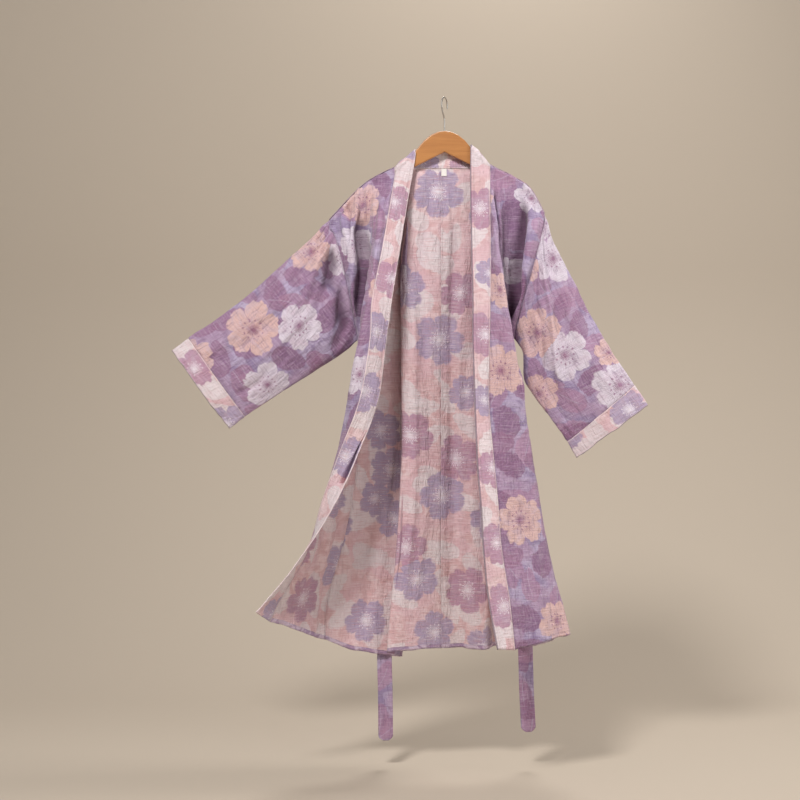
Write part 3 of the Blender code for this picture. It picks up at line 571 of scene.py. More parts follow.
LEAVES = {
    "sleeve_left": (
        (-272, -384, 44, 0.1, 40), (-339, -424, 42, 0.4, 130), (-402, -464, 44, 0.2, 20),
        (-512, -528, 42, 0.3, 100), (-272, -516, 44, 0, 70), (-306, -462, 40, 0.2, 160),
        (-536, -622, 44, 0.3, 30), (-480, -683, 42, 0.6, 10), (-368, -622, 44, 0.1, 150),
        (-240, -570, 46, 0, 60), (-252, -330, 40, 0.5, 90), (-400, -385, 34, 0.6, 60),
    ),
    "sleeve_right": (
        (222, -438, 42, 0.8, 80), (284, -475, 44, 0.9, 30), (318, -545, 40, 0.2, 110),
        (346, -672, 40, 0.1, 150), (290, -716, 44, 0.8, 60), (356, -584, 36, 0.9, 20),
        (236, -496, 36, 1, 0), (330, -480, 34, 0.5, 75), (300, -790, 40, 1, 30),
    ),
    # Down the right front's recess below the shoulder the leaves are print, laid large and dark there partly
    # as painted shade of the recess
    "front_right": (
        (140, -206, 50, 0.6, 84), (160, -300, 66, 0.1, 96), (166, -430, 70, 0, 80),
        (122, -545, 46, 0.9, 40), (160, -540, 60, 0, 100), (140, -770, 50, 0.2, 66),
        (192, -826, 50, 1, 110), (146, -866, 44, 0, 30), (150, -1110, 50, 0.8, 60),
        (232, -1090, 50, 0.1, 120), (176, -1225, 50, 0, 20), (222, -935, 46, 0.9, 150),
        (120, -700, 44, 0.7, 120), (176, -690, 40, 0.2, 30), (196, -1150, 40, 0.9, 80),
    ),
    "front_left": (
        (-160, -300, 40, 0.2, 80), (-206, -460, 56, 0, 100), (-190, -540, 48, 0.2, 80),
        (-168, -420, 40, 0.6, 60), (-206, -760, 44, 0.1, 100),
    ),
}

# Height below which the left front shows its inner face, and the span of x in which the backs show
SWUNG_OPEN_BELOW = -1000
OPENING = (-200, 75)

# How much larger the tables' motifs are drawn, the sizes and spacings of those scattered between them, and
# the number that the leaves add to a piece's seed
MOTIF_SCALE = 1.08
BLOSSOM_SIZES, LEAF_SIZES = (46, 60), (34, 48)
BLOSSOM_SPACING = 118
LEAF_SPACINGS = {"leaf": 78, "patch": 120}
LEAF_SEED = 50

# How many places a scattered motif is tried at, and how far scattered blossoms keep from what shows
SCATTER_TRIES = 1400
CLEAR_OF_SHOWN = 24

# Added to a point's miss when a motif's place is looked for: where it faces away, and for each millimetre
# that it lies further back
FACES_AWAY, LIES_BACK = 1000, 0.02


def nearest_front(points, x, z, facing):
    """Row and column of the point that shows at x, z from the front."""
    miss = np.hypot(points[..., 0] - x, points[..., 2] - z)
    miss = miss + np.where(facing, 0, FACES_AWAY) + points[..., 1] * LIES_BACK
    return np.unravel_index(np.argmin(miss), miss.shape)


def scatter(low, high, spacing, taken, seed):
    """Spots over a piece that keep their distance from each other and from those taken."""
    rng = np.random.default_rng(seed)
    spots = [tuple(spot) for spot in taken]
    fresh = []
    for _ in range(SCATTER_TRIES):
        spot = rng.uniform(low, high)
        if all(math.hypot(spot[0] - p[0], spot[1] - p[1]) > spacing for p in spots):
            spots.append(tuple(spot))
            fresh.append(tuple(spot))
    return fresh


def motif_map(centres, faces_u, faces_v, corners_u, corners_v):
    """Each face's nearest motif, and its corners' places in that motif's own axes.

    A motif is u, v, radius, turn in degrees and kind.
    """
    table = np.array(centres, float)
    miss = np.hypot(faces_u[:, None] - table[:, 0], faces_v[:, None] - table[:, 1]) / table[:, 2]
    own = table[np.argmin(miss, axis=1)]
    turn = np.radians(own[:, 3])[:, None]
    du = (corners_u - own[:, 0:1]) / own[:, 2:3]
    dv = (corners_v - own[:, 1:2]) / own[:, 2:3]
    p = du * np.cos(turn) + dv * np.sin(turn)
    q = dv * np.cos(turn) - du * np.sin(turn)
    return np.stack([p, q], -1), own[:, 4]


def placed(name, data):
    """A new object in the scene."""
    obj = bpy.data.objects.new(name, data)
    bpy.context.scene.collection.objects.link(obj)
    return obj


class ClothPiece:
    """A cut piece of cloth as a fine grid, with its place on the flat cloth and its sewn edges."""

    def __init__(self, name, points, out, rows_at, columns_at, down, column, closed=False):
        self.name, self.points, self.out, self.closed = name, points, out, closed
        self.rows_at, self.columns_at = rows_at, columns_at
        self.seed = sum(name.encode())
        whole = np.concatenate([points, points[:, :1]], axis=1) if closed else points
        self.u, self.v = laid_flat(whole, column, down)
        self.from_sides, self.from_top = lengths(whole, 1), lengths(whole, 0)

    def place(self, s, t):
        """A place given in the piece's own terms, as lengths on the flat cloth."""
        row = int(round(np.interp(t, self.rows_at, np.arange(len(self.rows_at)))))
        column = int(round(np.interp(s, self.columns_at, np.arange(len(self.columns_at)))))
        return np.array([self.u[row, column], self.v[row, column]])

    def edges(self, sewn, hemmed):
        """How far each point lies from the nearest sewn side and from the nearest hemmed side."""
        run = {
            "first": self.from_sides,
            "last": self.from_sides[:, -1:] - self.from_sides,
            "top": self.from_top,
            "bottom": self.from_top[-1:] - self.from_top,
        }
        far = np.full(self.u.shape, NO_EDGE)
        self.from_seam = np.min([far] + [run[side] for side in sewn], axis=0)
        self.from_hem = np.min([far] + [run[side] for side in hemmed], axis=0)

    def move(self, directions, offset):
        """Moves the grid by an offset along the direction at each point."""
        if self.closed:
            offset = offset[:, :-1]
        self.points = self.points + directions * offset[..., None]


def cloth_object(piece, wall, materials, motifs):
    """Mesh of a piece: quads between its points, with the print's places on every corner."""
    points = piece.points
    rows, columns = points.shape[:2]
    across = columns if piece.closed else columns - 1
    r, c = np.meshgrid(np.arange(rows - 1), np.arange(across), indexing="ij")
    rr = np.stack([r, r, r + 1, r + 1], -1).reshape(-1, 4)
    cc = np.stack([c, c + 1, c + 1, c], -1).reshape(-1, 4)
    if piece.out < 0:
        rr, cc = rr[:, ::-1], cc[:, ::-1]
    vertex = rr * columns + cc % columns
    mesh = bpy.data.meshes.new(piece.name + "_cloth")
    mesh.vertices.add(rows * columns)
    mesh.vertices.foreach_set("co", (points * MM).reshape(-1))
    mesh.loops.add(vertex.size)
    mesh.loops.foreach_set("vertex_index", vertex.reshape(-1))
    mesh.polygons.add(len(vertex))
    mesh.polygons.foreach_set("loop_start", np.arange(len(vertex)) * 4)
    mesh.update(calc_edges=True)
    mesh.shade_smooth()
    u, v = piece.u[rr, cc], piece.v[rr, cc]
    maps = {
        "cloth": np.stack([u, v], -1) * MM,
        "seam": np.stack([piece.from_seam[rr, cc], piece.from_hem[rr, cc]], -1) * MM,
    }
    kinds = {}
    for layer, centres in motifs.items():
        maps[layer], kinds[layer] = motif_map(centres, u.mean(1), v.mean(1), u, v)
    for layer, values in maps.items():
        mesh.uv_layers.new(name=layer).uv.foreach_set("vector", values.astype(np.float32).reshape(-1))
    for layer, values in kinds.items():
        mark = mesh.attributes.new(layer + "_kind", "FLOAT", "FACE")
        mark.data.foreach_set("value", values.astype(np.float32))
    # Painted shade of each point, by which the finish darkens recesses and shaded edges
    mark = mesh.attributes.new("hollow", "FLOAT", "POINT")
    mark.data.foreach_set("value", piece.hollow[:, :columns].reshape(-1).astype(np.float32))
    for material in materials:
        mesh.materials.append(material)
    obj = placed(piece.name + "_cloth", mesh)
    solid = obj.modifiers.new("wall", "SOLIDIFY")
    solid.thickness = wall * MM
    solid.offset = 0
    solid.material_offset = 1
    solid.material_offset_rim = 0
    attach(obj, "root")
    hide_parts(piece.name)
    return obj


# A blossom with a radius of 1: the numbers of its parts, its petals' reach beyond their root, how round,
# notched and scalloped they are, and the radius and sharpness of its ring of stamens
PETALS, SCALLOPS, VEINS, RAYS, STAMENS = 5, 15, 48, 25, 11
PETAL_ROOT, PETAL_REACH, PETAL_ROUNDNESS = 0.57, 0.42, 0.38
PETAL_NOTCH, SCALLOP_DEPTH = 0.06, 0.012
STAMEN_RING, RING_SHARPNESS = 0.34, 22.0

# A leaf with a half length of 1: its half breadth and how that grows to the tip, the closeness and slant of
# its veins, the bend of its midrib, and how much softer its edge is than a petal's
LEAF_BREADTH, LEAF_GROWTH = 0.56, 0.14
LEAF_VEINS, VEIN_SLANT = 17.0, 0.7
RIB_BEND, LEAF_SOFTER = 0.12, 1.3

# What the cloth's grain does to the print: how far its outlines and lines waver, how far a motif drifts
# along its own axes, and where an outline starts to fade
WAVER = SimpleNamespace(blossom=0.2, scallops=9.0, lines=5.0, leaf=0.25, leaf_veins=4.0)
LEAF_DRIFT, BLOSSOM_DRIFT = (0.3, 0.2), (0.22, 0.16)
PRINT_EDGE = -0.02

# Soft steps in the look of the cloth: where each starts and where it is full, from a seam in metres
STEPS = SimpleNamespace(
    notch=(0.93, 1.0), vein=(0.55, 0.1), veins_start=(0.04, 0.1), veins_end=(0.85, 0.3), ray=(0.0, 0.35),
    heart=(0.1, 0.05), ring=(0.1, 0.6), dot=(0.35, 0.7), leaf_vein=(0.5, 0.1), rib=(0.034, 0.018),
    stem_start=(-1.6, -1.4), rib_end=(0.9, 0.6), light_leaf=(0.5, 0.6), swirl=(0.35, 0.1),
    patchy=(0.45, 0.6), ground_light=(0.38, 0.62), blush=(0.45, 0.62), petal_shade=(0.45, 0.7),
    hem_light=(0.4, 0.58), hem_slub=(0.45, 0.6), slub=(0.52, 0.68), thread=(0.46, 0.32), warp=(0.54, 0.7),
    crease=(0.46, 0.3), seam=(0.003, 0.0006), stitch=(-0.2, 0.5),
)

# How strongly layers of colour and of relief show where every look has them alike
SHARES = SimpleNamespace(blush=0.7, petal=0.94, petal_shade=0.4, star=0.85, hem_slub=0.3)
RAISED = SimpleNamespace(pucker=0.4, ridge=0.5, weave=0.1, stitches=0.4)

# Middle value of a noise, and how closely the swirls on the ground follow one another
NOISE_MIDDLE, SWIRL_PACE = 0.5, 30.0

# Noises of the cloth: grains a metre across and down it, their detail and twist
GRAINS = {
    "weft": (26, 400, 3.0), "warp": (380, 26, 3.0), "fray": (90, 70, 3.0), "drift": (19, 15),
    "mottle": (24, 30, 3.0, 1.0), "cloud": (9, 12), "patchy": (30, 30), "crinkle": (170, 34, 3.0, 0.6),
    "pucker": (420, 110), "ridge": (40, 230), "weave": (1500, 1500, 1.0),
}

# Stitches, in metres: how far their rows lie from a seam and from a hem; then how sharp a row is across it,
# and the pace of the stitches along it
STITCHED_FROM_SEAM, STITCHED_FROM_HEM = 0.0042, 0.0095
STITCH_ROW, STITCH_RUN = 1600.0, 1900.0

# In metres too: how soft the inner edge of a hem's strip is, and how deep the relief of the cloth is
HEM_EDGE_SOFTNESS = 0.0004
RELIEF_DEPTH = 0.0032


def maths(operation, reflected=False):
    """A method that puts a value and its partners through a Math node, the value last if reflected."""
    def method(self, *others):
        values = [*others, self] if reflected else [self, *others]
        return self.paint.node("ShaderNodeMath", {"operation": operation}, values)
    return method


class Value:
    """An output of a material's nodes. Python's operators on it add Math nodes."""

    def __init__(self, paint, socket):
        self.paint, self.socket = paint, socket

    __add__ = __radd__ = maths("ADD")
    __sub__, __rsub__ = maths("SUBTRACT"), maths("SUBTRACT", True)
    __mul__ = __rmul__ = maths("MULTIPLY")
    __pow__, __abs__ = maths("POWER"), maths("ABSOLUTE")
    sin, cos, angle_over, most = (maths(name) for name in ("SINE", "COSINE", "ARCTAN2", "MAXIMUM"))

    def step(self, low, high):
        """0 below low and 1 above high, with a soft step between; the other way round if high is lower."""
        return self.paint.node(
            "ShaderNodeMapRange", {"interpolation_type": "SMOOTHSTEP"}, [self, low, high, 0.0, 1.0]
        )


class Finish:
    """A material and the nodes that colour it."""

    def __init__(self, name):
        self.material = bpy.data.materials.new(name)
        self.material.use_nodes = True
        self.nodes = self.material.node_tree.nodes
        self.links = self.material.node_tree.links
        self.shader = self.nodes["Principled BSDF"]

    def put(self, socket, value):
        """Sets a socket to a number, a colour or another node's output."""
        if isinstance(value, Value):
            self.links.new(value.socket, socket)
        elif hasattr(value, "__len__") and len(value) == 3 and len(socket.default_value) == 4:
            socket.default_value = (*value, 1)
        else:
            socket.default_value = value

    def node(self, kind, settings=None, inputs=(), output=0):
        """A new node with its settings and inputs, as one of its outputs."""
        node = self.nodes.new(kind)
        for key, value in (settings or {}).items():
            setattr(node, key, value)
        pairs = inputs.items() if isinstance(inputs, dict) else enumerate(inputs)
        for key, value in pairs:
            self.put(node.inputs[key], value)
        return Value(self, node.outputs[output])

    def shine(self, **values):
        """Settings of the surface itself, by the shader's own names with spaces as underscores."""
        for key, value in values.items():
            self.put(self.shader.inputs[key.replace("_", " ")], value)

    def mix(self, share, first, second):
        """One colour laid over another."""
        settings = {"data_type": "RGBA"}
        return self.node("ShaderNodeMix", settings, {0: share, 6: first, 7: second}, 2)

    def layered(self, colour, *layers):
        """A colour with others laid over it in turn, each given with its share."""
        for share, over in layers:
            colour = self.mix(share, colour, over)
        return colour

    def numbers(self, spot, count=3):
        """The first numbers of a place."""
        return [self.node("ShaderNodeSeparateXYZ", {}, [spot], k) for k in range(count)]

    def place(self, layer):
        """The two coordinates of one of the mesh's maps."""
        return self.numbers(self.node("ShaderNodeUVMap", {"uv_map": layer}), 2)

    def spot(self):
        """The place in the part itself."""
        return self.node("ShaderNodeTexCoord", {}, (), 3)

    def mark(self, name):
        """A number that each face or point of the mesh carries."""
        return self.node("ShaderNodeAttribute", {"attribute_name": name}, (), 2)

    def grain(self, u, v, across, along, detail=2.0, twist=0.0):
        """Noise on the cloth, with so many grains a metre across and along."""
        spot = self.node("ShaderNodeCombineXYZ", {}, [u * across, v * along, 0.0])
        inputs = {"Vector": spot, "Scale": 1.0, "Detail": detail, "Distortion": twist}
        return self.node("ShaderNodeTexNoise", {"noise_dimensions": "2D"}, inputs)

    def relief(self, height, strength, depth):
        """Fine relief on the surface."""
        inputs = {"Height": height, "Strength": strength, "Distance": depth}
        self.put(self.shader.inputs["Normal"], self.node("ShaderNodeBump", {}, inputs))


def tone(red, green, blue):
    """A colour named by its 0 to 255 screen values, as the linear values that a material takes."""
    screen = np.array((red, green, blue)) / 255
    return tuple(np.where(screen <= 0.04045, screen / 12.92, ((screen + 0.055) / 1.055) ** 2.4))


def blossom(p, q, ragged, look):
    """Masks of one blossom: petals, their veins, the star at the middle and the stamens' dots."""
    reach = (p * p + q * q) ** 0.5
    angle = q.angle_over(p)
    lobe = abs((angle * (PETALS / 2)).cos())
    notch = lobe.step(*STEPS.notch) * PETAL_NOTCH
    scallop = (angle * SCALLOPS + ragged * WAVER.scallops).sin() * SCALLOP_DEPTH
    waver = ragged * WAVER.blossom
    edge = lobe ** PETAL_ROUNDNESS * PETAL_REACH + PETAL_ROOT - notch + scallop + waver
    petals = (edge - reach).step(PRINT_EDGE, look.softness)
    fan = abs((angle * (VEINS / 2) + ragged * WAVER.lines).sin())
    veins = fan.step(*STEPS.vein) * reach.step(*STEPS.veins_end) * reach.step(*STEPS.veins_start)
    burst = abs((angle * (RAYS / 2) + ragged * WAVER.lines).sin())
    star = (burst - reach * look.star_taper).step(*STEPS.ray).most(reach.step(*STEPS.heart))
    ring = (1 - abs(reach - STAMEN_RING - waver) * RING_SHARPNESS).step(*STEPS.ring)
    dots = (angle * STAMENS).sin().step(*STEPS.dot) * ring
    return petals, veins, star, dots


def leaf(p, q, ragged, softness):
    """Masks of one leaf: its blade, its side veins, and its midrib and stem."""
    breadth = (1 - p * p).most(0.0) ** 0.5 * (p * LEAF_GROWTH + LEAF_BREADTH)
    blade = (breadth - abs(q + ragged * WAVER.leaf)).step(PRINT_EDGE, softness)
    slanted = (p + abs(q) * VEIN_SLANT) * LEAF_VEINS
    veins = abs((slanted + ragged * WAVER.leaf_veins).sin()).step(*STEPS.leaf_vein)
    bend = p * p * RIB_BEND + q
    rib = abs(bend).step(*STEPS.rib) * p.step(*STEPS.stem_start) * p.step(*STEPS.rib_end)
    return blade, veins, rib


def cloth_finish(name, look):
    """Crinkled double cloth with the print in one face's colours."""
    look = SimpleNamespace(**look)
    finish = Finish(name)
    u, v = finish.place("cloth")
    grain = SimpleNamespace(**{key: finish.grain(u, v, *row) for key, row in GRAINS.items()})
    weft, mottle, crinkle = grain.weft, grain.mottle, grain.crinkle
    ragged = grain.fray - NOISE_MIDDLE + (weft - NOISE_MIDDLE) * look.blurred
    drift = grain.drift - NOISE_MIDDLE
    swirl = abs((mottle * SWIRL_PACE).sin()).step(*STEPS.swirl) * grain.patchy.step(*STEPS.patchy)
    colour = finish.layered(
        look.ground,
        (mottle.step(*STEPS.ground_light), look.ground_light),
        (grain.cloud.step(*STEPS.blush) * SHARES.blush, look.blush),
        (swirl * look.swirl, look.line),
    )
    for layer in LEAF_SPACINGS:
        p, q = finish.place(layer)
        p, q = p + drift * LEAF_DRIFT[0], q + drift * LEAF_DRIFT[1]
        blade, veins, rib = leaf(p, q, ragged, look.softness * LEAF_SOFTER)
        kind = finish.mark(layer + "_kind")
        colour = finish.layered(
            colour,
            (blade * look.cover, finish.mix(kind, look.leaf, look.leaf_light)),
            (blade * veins * look.veined, look.leaf_vein),
            (rib * kind.step(*STEPS.light_leaf) * look.ribbed, look.line),
        )
    p, q = finish.place("blossom")
    p, q = p + drift * BLOSSOM_DRIFT[0], q - drift * BLOSSOM_DRIFT[1]
    petals, veins, star, dots = blossom(p, q, ragged, look)
    petal = finish.layered(
        finish.mix(finish.mark("blossom_kind"), look.pale, look.warm),
        (mottle.step(*STEPS.petal_shade) * SHARES.petal_shade, look.petal_shade),
        (veins * look.petal_veined, look.petal_vein),
        (dots * look.dotted, look.star),
        (star * SHARES.star, look.star),
    )
    from_seam, from_hem = finish.place("seam")
    turned = from_hem.step(look.turned + HEM_EDGE_SOFTNESS, look.turned - HEM_EDGE_SOFTNESS)
    hem_tone = finish.layered(
        look.hem,
        (mottle.step(*STEPS.hem_light), look.hem_light),
        (weft.step(*STEPS.hem_slub) * SHARES.hem_slub, look.seam),
    )
    # Painted shade: a darker colour laid into recesses by how deep they lie, and along shaded edges
    hollow = (finish.mark("hollow") * look.facing).step(PAINTED_SHADE_FROM, PAINTED_SHADE_FULL)
    seam_row, hem_row = (
        1 - abs(run - row) * STITCH_ROW
        for run, row in ((from_seam, STITCHED_FROM_SEAM), (from_hem, STITCHED_FROM_HEM))
    )
    stitches = seam_row.most(hem_row).most(0.0) * ((u + v) * STITCH_RUN).sin().step(*STEPS.stitch)
    colour = finish.layered(
        colour,
        (petals * SHARES.petal, petal),
        (weft.step(*STEPS.slub) * look.slubbed, look.slub),
        (weft.step(*STEPS.thread) * look.slubbed, look.thread),
        (grain.warp.step(*STEPS.warp) * look.warped, look.thread),
        # Painted shade: a darker colour laid into the troughs of the crinkle that also raises the relief
        (crinkle.step(*STEPS.crease) * look.creased, look.shade),
        (turned * look.hemmed, hem_tone),
        # A line along the seams; on the outer face it is pale, partly the seam's own line and partly painted
        # highlight along the seamed edges
        (from_seam.step(*STEPS.seam) * look.seamed, look.seam),
        (hollow * look.hollowed, look.deep),
        (stitches * look.stitched, look.seam),
    )
    finish.shine(Base_Color=colour, Roughness=0.88, Sheen_Weight=0.25, Sheen_Roughness=0.5)
    finish.shine(Specular_IOR_Level=0.2)
    height = crinkle + grain.pucker * RAISED.pucker + grain.ridge * RAISED.ridge
    height = height + grain.weave * RAISED.weave - stitches * RAISED.stitches
    finish.relief(height, 1.0, RELIEF_DEPTH)
    return finish.material


def cloth_look(**values):
    """A print's colours, given by their screen values, and the strengths of its parts."""
    return {key: tone(*value) if isinstance(value, tuple) else value for key, value in values.items()}


# Colours and strengths of the cloth's outer face, its inner face and the bands, which show the inner face
# In each look one colour, with its share, is painted shade laid into recesses and along shaded edges
OUTER = cloth_look(
    ground=(152, 134, 168), ground_light=(184, 168, 196), blush=(178, 146, 172), line=(198, 184, 206),
    leaf=(130, 86, 118), leaf_light=(178, 136, 162), leaf_vein=(184, 150, 178), pale=(226, 216, 226),
    warm=(224, 188, 180), petal_shade=(206, 182, 196), petal_vein=(150, 106, 140), star=(140, 84, 118),
    slub=(132, 102, 138), thread=(206, 190, 208), shade=(112, 84, 116), seam=(172, 146, 172),
    hem=(146, 122, 160), hem_light=(190, 174, 202), deep=(78, 50, 72),
    softness=0.05, blurred=0.1, swirl=0.45, cover=0.7, veined=0.35, ribbed=0.4, petal_veined=0.6,
    star_taper=3.4, dotted=0.7, slubbed=0.28, warped=0.12, creased=0.3, turned=0.0, hemmed=0.0, seamed=0.3,
    stitched=0.3, hollowed=0.75, facing=1.0,
)
INNER = cloth_look(
    ground=(218, 180, 182), ground_light=(232, 204, 206), blush=(222, 186, 194), line=(232, 220, 220),
    leaf=(234, 224, 226), leaf_light=(226, 214, 218), leaf_vein=(228, 202, 204), pale=(172, 156, 186),
    warm=(184, 142, 166), petal_shade=(188, 166, 188), petal_vein=(208, 188, 206), star=(244, 236, 244),
    slub=(206, 158, 160), thread=(236, 218, 220), shade=(182, 144, 154), seam=(188, 150, 158),
    hem=(164, 138, 172), hem_light=(212, 194, 214), deep=(150, 112, 132),
    softness=0.1, blurred=0.4, swirl=0.0, cover=0.85, veined=0.1, ribbed=0.2, petal_veined=0.3,
    star_taper=2.7, dotted=0.6, slubbed=0.4, warped=0.08, creased=0.16, turned=0.0105, hemmed=0.95,
    seamed=0.06, stitched=0.08, hollowed=0.6, facing=-1.0,
)
BAND = INNER | cloth_look(
    # On the bands and turned cuffs the pale strip along the free edge is painted highlight where the folded
    # edge catches light, and the pale line along the sewn edge is partly the seam's own line and partly
    # painted highlight on the raised edge
    hem=(238, 220, 222), seam=(238, 218, 216), hem_light=(240, 226, 228), deep=(92, 68, 92),
    softness=0.06, blurred=0.15, slubbed=0.25, turned=0.0022, hemmed=0.8, seamed=0.7, stitched=0.3,
    hollowed=0.7, facing=1.0,
)


# Hanger and label: colours by their screen values, and relief as strength and depth in metres
HONEY, HONEY_DARK, HONEY_PORES = (190, 131, 74), (176, 116, 62), (146, 92, 48)
WIRE, WIRE_RUBBED = (176, 172, 166), (204, 200, 194)
TAPE, TAPE_LIGHT = (228, 222, 216), (242, 238, 232)
WOOD_RELIEF, TAPE_RELIEF = (0.15, 0.0006), (0.3, 0.0002)

# Wood's rings and pores a metre along and across the board, with their detail and twist; how much the rings
# lean through its thickness, how softly both show, and how strongly the pores do
WOOD_RINGS, WOOD_PORES = (7, 90, 3.0, 0.6), (60, 1400, 2.0)
RINGS_LEAN, RINGS_SHOW, PORES_SHOW, PORE_SHARE = 0.6, (0.25, 0.75), (0.55, 0.8), 0.3

# Pace of the label's ribs
TAPE_RIBS = 7000.0


def wood_finish():
    """Honey-coloured board with a satin lacquer."""
    finish = Finish("honey wood")
    x, y, z = finish.numbers(finish.spot())
    rings = finish.grain(x, z + y * RINGS_LEAN, *WOOD_RINGS)
    pores = finish.grain(x, z, *WOOD_PORES)
    colour = finish.layered(
        tone(*HONEY),
        (rings.step(*RINGS_SHOW), tone(*HONEY_DARK)),
        (pores.step(*PORES_SHOW) * PORE_SHARE, tone(*HONEY_PORES)),
    )
    finish.shine(Base_Color=colour, Roughness=rings * 0.12 + 0.3, Coat_Weight=0.4, Coat_Roughness=0.2)
    finish.relief(pores, *WOOD_RELIEF)
    return finish.material


def wire_finish():
    """Bright wire with faint rubbing."""
    finish = Finish("bright wire")
    rub = finish.node("ShaderNodeTexNoise", {}, {"Vector": finish.spot(), "Scale": 900.0, "Detail": 3.0})
    colour = finish.mix(rub, tone(*WIRE), tone(*WIRE_RUBBED))
    finish.shine(Base_Color=colour, Metallic=1.0, Roughness=rub * 0.15 + 0.3)
    return finish.material


def tape_finish():
    """Plain woven tape."""
    finish = Finish("woven tape")
    x, _, z = finish.numbers(finish.spot())
    ribs = (z * TAPE_RIBS).sin() * (x * TAPE_RIBS).sin()
    colour = finish.mix(ribs.step(-1.0, 1.0), tone(*TAPE), tone(*TAPE_LIGHT))
    finish.shine(Base_Color=colour, Roughness=0.85)
    finish.relief(ribs, *TAPE_RELIEF)
    return finish.material


def seen_at(piece, motifs, facing):
    """Motifs of a table brought from their places in the front view to the flat cloth."""
    found = []
    for x, z, radius, kind, turn in motifs:
        row, column = nearest_front(piece.points, x, z, facing)
        place = piece.points[row, column]
        side = np.sign(np.gradient(piece.points[row, :, 0])[column])
        u = piece.u[row, column] + (x - place[0]) * side
        v = piece.v[row, column] + place[2] - z
        found.append((u, v, radius * MOTIF_SCALE, turn if side > 0 else 180 - turn, kind))
    return found


def hidden_from_front(piece, facing, spots):
    """Those of the spots on the flat cloth that the front view doesn't show."""
    x = piece.points[..., 0]
    shown = facing & (x > OPENING[0]) & (x < OPENING[1]) if piece.name.startswith("back") else facing
    shown_u, shown_v = piece.u[:, :x.shape[1]][shown], piece.v[:, :x.shape[1]][shown]
    return [p for p in spots if np.hypot(shown_u - p[0], shown_v - p[1]).min() > CLEAR_OF_SHOWN]


def print_motifs(piece, shows_inside):
    """Blossoms and leaves over a piece, as u, v, radius, turn and kind."""
    low, high = (piece.u.min(), piece.v.min()), (piece.u.max(), piece.v.max())
    front = outward(piece.points, piece.closed, piece.out)[..., 1] < 0
    if piece.name == "front_left":
        front = front ^ (piece.points[..., 2] < SWUNG_OPEN_BELOW)
    facing = ~front if shows_inside else front
    blossoms = seen_at(piece, BLOSSOMS.get(piece.name, ()), facing)
    leaves = seen_at(piece, LEAVES.get(piece.name, ()), facing)
    rng = np.random.default_rng(piece.seed)
    spots = scatter(low, high, BLOSSOM_SPACING, [b[:2] for b in blossoms], piece.seed)
    if piece.name == "belt":
        spots = []
    elif blossoms and piece.name != "collar_band":
        spots = hidden_from_front(piece, facing, spots)
    blossoms += [
        (*spot, rng.uniform(*BLOSSOM_SIZES), rng.uniform(0, 360 / PETALS), rng.integers(2)) for spot in spots
    ]
    layers = {"blossom": blossoms}
    for k, (layer, spacing) in enumerate(LEAF_SPACINGS.items()):
        taken = leaves if layer == "leaf" else []
        layers[layer] = taken + [
            (*spot, rng.uniform(*LEAF_SIZES), rng.uniform(0, 360), rng.uniform(0, 1))
            for spot in scatter(low, high, spacing, [p[:2] for p in taken], piece.seed + LEAF_SEED + k)
        ]
    return layers


def finish_piece(piece, wall, materials, sewn=(), hemmed=(), shows_inside=False, dent=0,
                 side=0, painted_edge_shade=0):
    """Creases, crinkles and seams on a piece, then its mesh and its print."""
    piece.edges(sewn, hemmed)
    u, v, seed = piece.u, piece.v, piece.seed
    level = v * 0
    free = smooth(piece.from_seam, 0, SEAM_HOLDS_WAVES)
    near_seam = np.exp(-(piece.from_seam / SEAM_PUCKERS_AT - 1) ** 2)
    near_hem = np.exp(-piece.from_hem / HEM_SWINGS_OVER)
    creases = crease_depth(u, v, CREASES.get(piece.name, ()), piece.place) * free
    # Painted shade: how far each point lies back in a crease's recess, plus the shade painted along an edge
    piece.hollow = -creases + painted_edge_shade
    depth = creases + dent + ripples(u, v, WAVES, seed) * free
    depth += ripples(u, v, CRINKLES, seed) * smooth(piece.from_seam, 0, SEAM_HOLDS_CRINKLES)
    depth += ripples(u + v, u - v, SEAM_PUCKERS, seed) * near_seam
    depth += ripples(u, level, HEM_SWING, seed) * near_hem
    depth -= np.exp(-(piece.from_seam / SEAM_GROOVE[0]) ** 2) * SEAM_GROOVE[1]
    depth -= smooth(piece.from_hem, *HEM_TURN) * HEM_SUNK
    if shows_inside:
        depth += np.exp(-(piece.from_top / BEHIND_BAND_OVER) ** 2) * BEHIND_BAND
    piece.move(outward(piece.points, piece.closed, piece.out), depth)
    waver = ripples(u, level, HEM_WAVER, seed) + ripples(u, level, HEM_NOTCHES, 0)
    piece.move(unit(np.gradient(piece.points, axis=0)), waver * near_hem)
    if side:
        piece.points = beside_board(piece.points, side, wall)
    obj = cloth_object(piece, wall, materials, print_motifs(piece, shows_inside))


